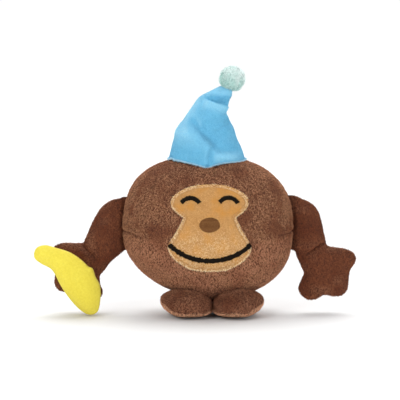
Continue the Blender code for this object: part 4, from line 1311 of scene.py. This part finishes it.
def build_hat():
    grid = hat_surface()
    rows, sides, _ = grid.shape
    index = np.arange(rows * sides).reshape(rows, sides)
    following = np.roll(index, -1, axis=1)
    quads = columns(index[:-1], following[:-1], following[1:], index[1:]).reshape(-1, 4)
    tris = np.vstack([quads[:, [0, 1, 2]], quads[:, [0, 2, 3]]])
    base = grid.reshape(-1, 3)
    normals = vertex_normals(base, tris)
    row = np.repeat(np.arange(rows), sides) / (rows - 1)
    angle = np.tile(2 * math.pi * np.arange(sides) / sides, rows)
    settle = step(0.0, 0.06, row)
    out = hat_folds(base) * (0.35 + 0.65 * settle)
    verts = base + normals * out[:, None]
    # the rim waves a little and dips to a point at the front
    near_rim = step(0.1, 0.0, row)
    front = np.exp(-(((angle - 1.5 * math.pi) / 0.16) ** 2))
    gape = np.exp(-(((angle - 1.13 * math.pi) / 0.12) ** 2))
    verts[:, 2] += near_rim * (0.5 * np.sin(5 * angle + 0.6) - 1.9 * front + 1.2 * gape)
    verts[:, 1] -= near_rim * 0.9 * front
    # the tip closes round the pompom's tie
    last = index[-1]
    cap = columns(last, np.roll(last, -1), len(verts))
    skin_verts = np.vstack([verts, [HAT_POINT]])
    skin_tris = np.vstack([tris, cap])
    skin = mesh_object("hat_cloth", skin_verts, skin_tris, BLUE_CLOTH)
    thicken(skin, HAT_THICKNESS, -1.0)

    def painted_light_and_mottle(root, normal):
        """Painted light and shade: paler on raised folds and faces turned up, darker in the
        hollows; also paler towards the tip, and mottled.
        """
        fold = hat_folds(root)
        flat = root[:, [0, 2]]
        # painted highlight along the left edge, on faces turned to the left
        left_edge = 0.75 * step(-0.2, -0.95, normal[:, 0])
        left_edge = left_edge * step(142.0, 160.0, root[:, 2]) * step(190.0, 182.0, root[:, 2])
        # painted highlight on the bulge just below the tip's fold
        crease, t = segment_distance(flat, *HAT_TIP_FOLD)
        under_tip = 0.4 * step(0.3, -1.2, crease) * step(-11.0, -2.0, crease) * step(-0.1, 0.25, t)
        # painted highlight on the level fold above the rim, which faces up
        level, t = segment_distance(flat, *HAT_LEVEL_FOLD)
        lowest = 0.4 * bump(level + 4.6, 3.6) * step(0.0, 0.3, t) * step(1.1, 0.8, t)
        top = 0.4 * step(184.0, 188.0, root[:, 2])
        # painted light on faces turned up
        facing = 0.16 * normal[:, 2] - 0.03 * normal[:, 0]
        # painted shade low on the left side
        low_left = 0.12 * step(0.1, -0.5, normal[:, 0]) * step(146.0, 136.0, root[:, 2])
        painted_lightness = 0.02 + 0.07 * fold + facing + left_edge + under_tip + lowest + top - low_left
        return np.clip(painted_lightness + 0.07 * lattice_noise(root, 8.0, 106), 0, 0.9)

    def open_crease(root, normal):
        crease, t = fold_distance(root[:, [0, 2]], HAT_TIP_FOLD, 0.5, 6.0)
        return np.where((crease > -0.1) & (crease < 0.7) & (t > 0.1) & (root[:, 1] < -2), 0.0, 1.0)

    points, normals = (np.empty(len(skin.data.vertices) * 3) for _ in range(2))
    skin.data.vertices.foreach_get("co", points)
    skin.data.vertices.foreach_get("normal", normals)
    # the cloth under the nap gets the same painted light and shade
    painted_lightness = painted_light_and_mottle(points.reshape(-1, 3) / MM - MIDDLE, normals.reshape(-1, 3))
    set_numbers(skin, "fibre_pale", painted_lightness)
    nap = grow_pile("hat_nap", skin_verts, skin_tris, BLUE_PILE, density=6.5, length=0.9,
                    width=0.3, seed=105, lift=0.7, sink=0.15, keep=open_crease, pale_at=painted_light_and_mottle)
    fringe = build_fringe(verts[index[0]])
    bend(("torso", "hat_tip"), "blue_fleece", [skin, nap], *HAT_BEND,
         "hat_cone_lower", "hat_cone_tip")
    attach("torso", "blue_fleece", [fringe])


def build_fringe(rim):
    """The cut edge of the fleece: fine fibres round the rim."""
    rng = np.random.default_rng(107)
    count = 5200
    at = rng.random(count) * len(rim)
    i = at.astype(int) % len(rim)
    t = (at % 1)[:, None]
    root = rim[i] * (1 - t) + rim[(i + 1) % len(rim)] * t
    middle = rim.mean(axis=0)
    outward = root - middle
    outward[:, 2] = 0
    outward = unit(outward)
    way = unit(outward * 0.7 + np.array([0, 0, -0.35]) + rng.normal(size=(count, 3)) * 0.4)
    size = 1.2 * (0.5 + rng.random(count))[:, None]
    foot = root + outward * 0.3 + np.array([0, 0, 0.45]) + rng.normal(size=(count, 3)) * 0.25
    across = unit(np.cross(way, rng.normal(size=(count, 3)))) * 0.14
    points = np.empty((count, 4, 3))
    points[:, 0] = foot - across
    points[:, 1] = foot + across
    points[:, 2] = foot + way * size * 0.6 + across * 0.7
    points[:, 3] = foot + way * size + np.array([0, 0, -0.15])
    start = np.arange(count)[:, None] * 4
    faces = np.vstack([start + [0, 1, 2], start + [0, 2, 3]])
    fringe = mesh_object("hat_hem_fringe", points.reshape(-1, 3), faces, HEM_PILE, smooth=False)
    set_numbers(fringe, "fibre_tone", np.repeat(0.4 + 0.6 * rng.random(count), 4))
    set_numbers(fringe, "fibre_tip", np.tile([0.3, 0.3, 0.8, 1.0], count))
    return fringe


def build_pompom():
    centre = np.array([POMPOM_CENTRE[0] - 0.9, 0.0, POMPOM_CENTRE[1] + 0.3])
    ball, faces = unit_ball(4)
    tuft = np.exp(-((1 - ball @ unit(np.array([-1.0, -0.3, -0.25]))) / 0.10))
    size = POMPOM_RADIUS + 0.4 * lattice_noise(ball * 8, 5.0, 112)
    size = size + 0.45 * lattice_noise(ball * 8, 2.2, 113) + 1.3 * tuft
    core = centre + ball * size[:, None]
    body = mesh_object("pompom_core", core, faces, MINT_CLOTH)

    def sunlit(root, normal):
        lit = 0.8 * (normal @ unit(np.array([0.6, -0.2, 0.8])))
        return np.clip(0.22 + lit + 0.3 * lattice_noise(root, 3.0, 115), 0, 1)

    yarn = {"clump": 1.6, "sink": 0.2, "pale_at": sunlit}
    pile = grow_pile("pompom_yarn", core, faces, MINT_PILE, density=12.0, length=2.2, width=0.32,
                     seed=114, nap=(0, 0, -0.3), lift=0.6, spread=0.5, **yarn)
    fuzz = grow_pile("pompom_fuzz", core, faces, MINT_PILE, density=3.2, length=3.6, width=0.2,
                     seed=116, nap=(0, 0, 0), lift=1.6, spread=0.6, **yarn)
    attach("pompom_ball", "mint_yarn", [body, pile, fuzz], "pompom")


# ---- small sewn pieces

def build_label():
    """The blank care label: a ribbon sewn on along its top, its lower edge curling off the body."""
    low, high = node_box("care_label")
    shape = (33, 49)
    down, across = np.meshgrid(*(np.linspace(0, 1, count) for count in shape), indexing="ij")
    x = low[0] + (high[0] - low[0]) * across + 0.25 * np.sin(down * 5.0)
    z = high[2] + (low[2] - high[2]) * down + 0.5 * across * down
    wave = 0.5 * down * np.sin(across * 5.2 + 0.8) + 0.12 * np.sin(across * 40) * (1 - down) ** 3
    y = body_depth(x, z) + 1.7 + 1.6 * down**2 + wave
    middle = columns(x, y, z).reshape(-1, 3)
    index = np.arange(down.size).reshape(shape)
    quads = columns(index[:-1, :-1], index[1:, :-1], index[1:, 1:], index[:-1, 1:])
    label = mesh_object("care_label_ribbon", middle, quads.reshape(-1, 4), ribbon_material())
    thicken(label, LABEL_THICKNESS, 0.0)
    stitches = []
    for start in np.linspace(low[0] + 0.8, high[0] - 2.4, 12):
        reach = np.linspace(0, 1, 9)
        x, z = start + 1.4 * reach, high[2] - 1.1
        y = body_depth(x, z) + 1.75 + 0.35 * np.sqrt(np.sin(math.pi * np.clip(reach, 0.02, 0.98)))
        stitches.append(columns(x, y, z))
    thread = tubes("care_label_stitches", stitches, 0.13, LABEL_THREAD)
    attach("label", "label_ribbon", [label, thread], "care_label")


def build_tack():
    """The few threads that hold the front of the hat's rim to the head."""
    rng = np.random.default_rng(121)
    low, high = node_box("hat_tack_stitch")
    lines = []
    for x in np.linspace(low[0] + 0.3, high[0] - 0.3, 7):
        reach = np.linspace(0, 1, 11)
        lean = 0.3 * rng.normal()
        y = low[1] + 0.2 - 0.55 * np.sin(math.pi * reach)
        z = low[2] - 0.2 + (high[2] - low[2]) * reach
        lines.append(columns(x + lean * (reach - 0.5), y, z))
    thread = tubes("hat_tack_threads", lines, THREAD_RADIUS, BLUE_THREAD)
    attach("torso", "blue_fleece", [thread], "hat_tack_stitch")


def build_tie():
    """The yarn wound round the hat's point, under the pompom."""
    low, high = node_box("pompom_tie")
    middle = (low + high) / 2
    out = unit(np.array([POMPOM_CENTRE[0], 0.0, POMPOM_CENTRE[1]]) - middle)
    first = unit(np.cross(out, [0.0, 1.0, 0.0]))
    second = np.cross(out, first)
    lines = []
    for turn in range(4):
        angle = np.linspace(0, 2 * math.pi, 33)
        radius = 1.25 + 0.12 * (turn % 2)
        rise = 0.28 * (turn - 1.5) + 0.05 * np.sin(3 * angle + turn)
        ring = np.cos(angle)[:, None] * first + np.sin(angle)[:, None] * second
        lines.append(middle + radius * ring + rise[:, None] * out)
    yarn = tubes("pompom_tie_yarn", lines, 0.22, MINT_THREAD)
    attach("hat_tip", "mint_yarn", [yarn], "pompom_tie")


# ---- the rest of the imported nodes, the stage and the camera

def finish_nodes():
    """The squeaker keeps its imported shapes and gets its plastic."""
    plastic = plastic_material()
    for part in ("bulb_back", "bulb_front", "reed_plug", "reed"):
        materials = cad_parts[f"squeaker_{part}"].data.materials
        materials.clear()
        materials.append(plastic)


def aim(obj, way, axis="-Z"):
    obj.rotation_mode = "QUATERNION"
    obj.rotation_quaternion = way.to_track_quat(axis, "Y")


def add_light(name, place, size, power):
    """A soft round lamp that faces the toy's middle."""
    data = bpy.data.lights.new(name, "AREA")
    data.shape = "DISK"
    data.size = size
    data.energy = power
    light = link_object(name, data)
    light.location = place
    aim(light, Vector((0, 0, 0.1)) - Vector(place))


def build_stage():
    mesh = bpy.data.meshes.new("floor")
    corners = [(x * FLOOR_HALF, y * FLOOR_HALF, 0) for x, y in ((-1, -1), (1, -1), (1, 1), (-1, 1))]
    mesh.from_pydata(corners, [], [(0, 1, 2, 3)])
    floor = link_object("floor", mesh)
    nodes = Nodes("floor_white", 0.9, specular=0.0)
    # a sweep that is whiter far from the toy
    reach = nodes.add("VectorMath", {0: nodes.place}, "Value", operation="LENGTH")
    far = nodes.spread(reach, *FLOOR_WHITENS)
    near_toy = nodes.mix(nodes.noise(400.0), *FLOOR_NEAR)
    nodes.colour(nodes.mix(far, near_toy, FLOOR_FAR))
    mesh.materials.append(nodes.material)
    world = bpy.data.worlds.new("studio")
    world.use_nodes = True
    background = world.node_tree.nodes["Background"]
    background.inputs["Color"].default_value = (1.0, 1.0, 1.0, 1)
    # a studio bright all round at eye level and dimmer overhead, where the one soft lamp is
    links, new = world.node_tree.links, world.node_tree.nodes.new
    parts, height = new("ShaderNodeSeparateXYZ"), new("ShaderNodeMapRange")
    links.new(new("ShaderNodeTexCoord").outputs["Generated"], parts.inputs["Vector"])
    links.new(parts.outputs["Z"], height.inputs["Value"])
    spread = {"From Min": 0.16, "From Max": 0.55, "To Min": 1.02, "To Max": 0.42}
    for socket, value in spread.items():
        height.inputs[socket].default_value = value
    links.new(height.outputs["Result"], background.inputs["Strength"])
    bpy.context.scene.world = world
    data = bpy.data.lights.new("overhead", "SUN")
    data.energy = 2.7
    data.angle = math.radians(62)
    aim(link_object("overhead", data), Vector((0.08, 0.5, 1.0)), "Z")
    add_light("side", (-0.9, -1.2, 0.9), size=0.8, power=9)
    add_light("fill", (0.9, -1.3, 0.6), size=0.9, power=6)
    bpy.context.scene.view_settings.view_transform = "Standard"


def build_camera():
    data = bpy.data.cameras.new("camera")
    data.lens = CAMERA_LENS
    data.sensor_width = 36.0
    camera = link_object("camera", data)
    elevation = math.radians(CAMERA_ELEVATION)
    back = Vector((0.0, -math.cos(elevation), math.sin(elevation)))
    camera.location = Vector(CAMERA_TARGET) + back * CAMERA_DISTANCE
    aim(camera, -back)
    bpy.context.scene.camera = camera


build_stage()
build_camera()
build_body()
build_face()
for arm in ARMS:
    build_arm(arm)
build_banana()
for foot in FOOT_CENTRES:
    build_foot(*foot)
build_hat()
build_pompom()
build_label()
build_tack()
build_tie()
finish_nodes()
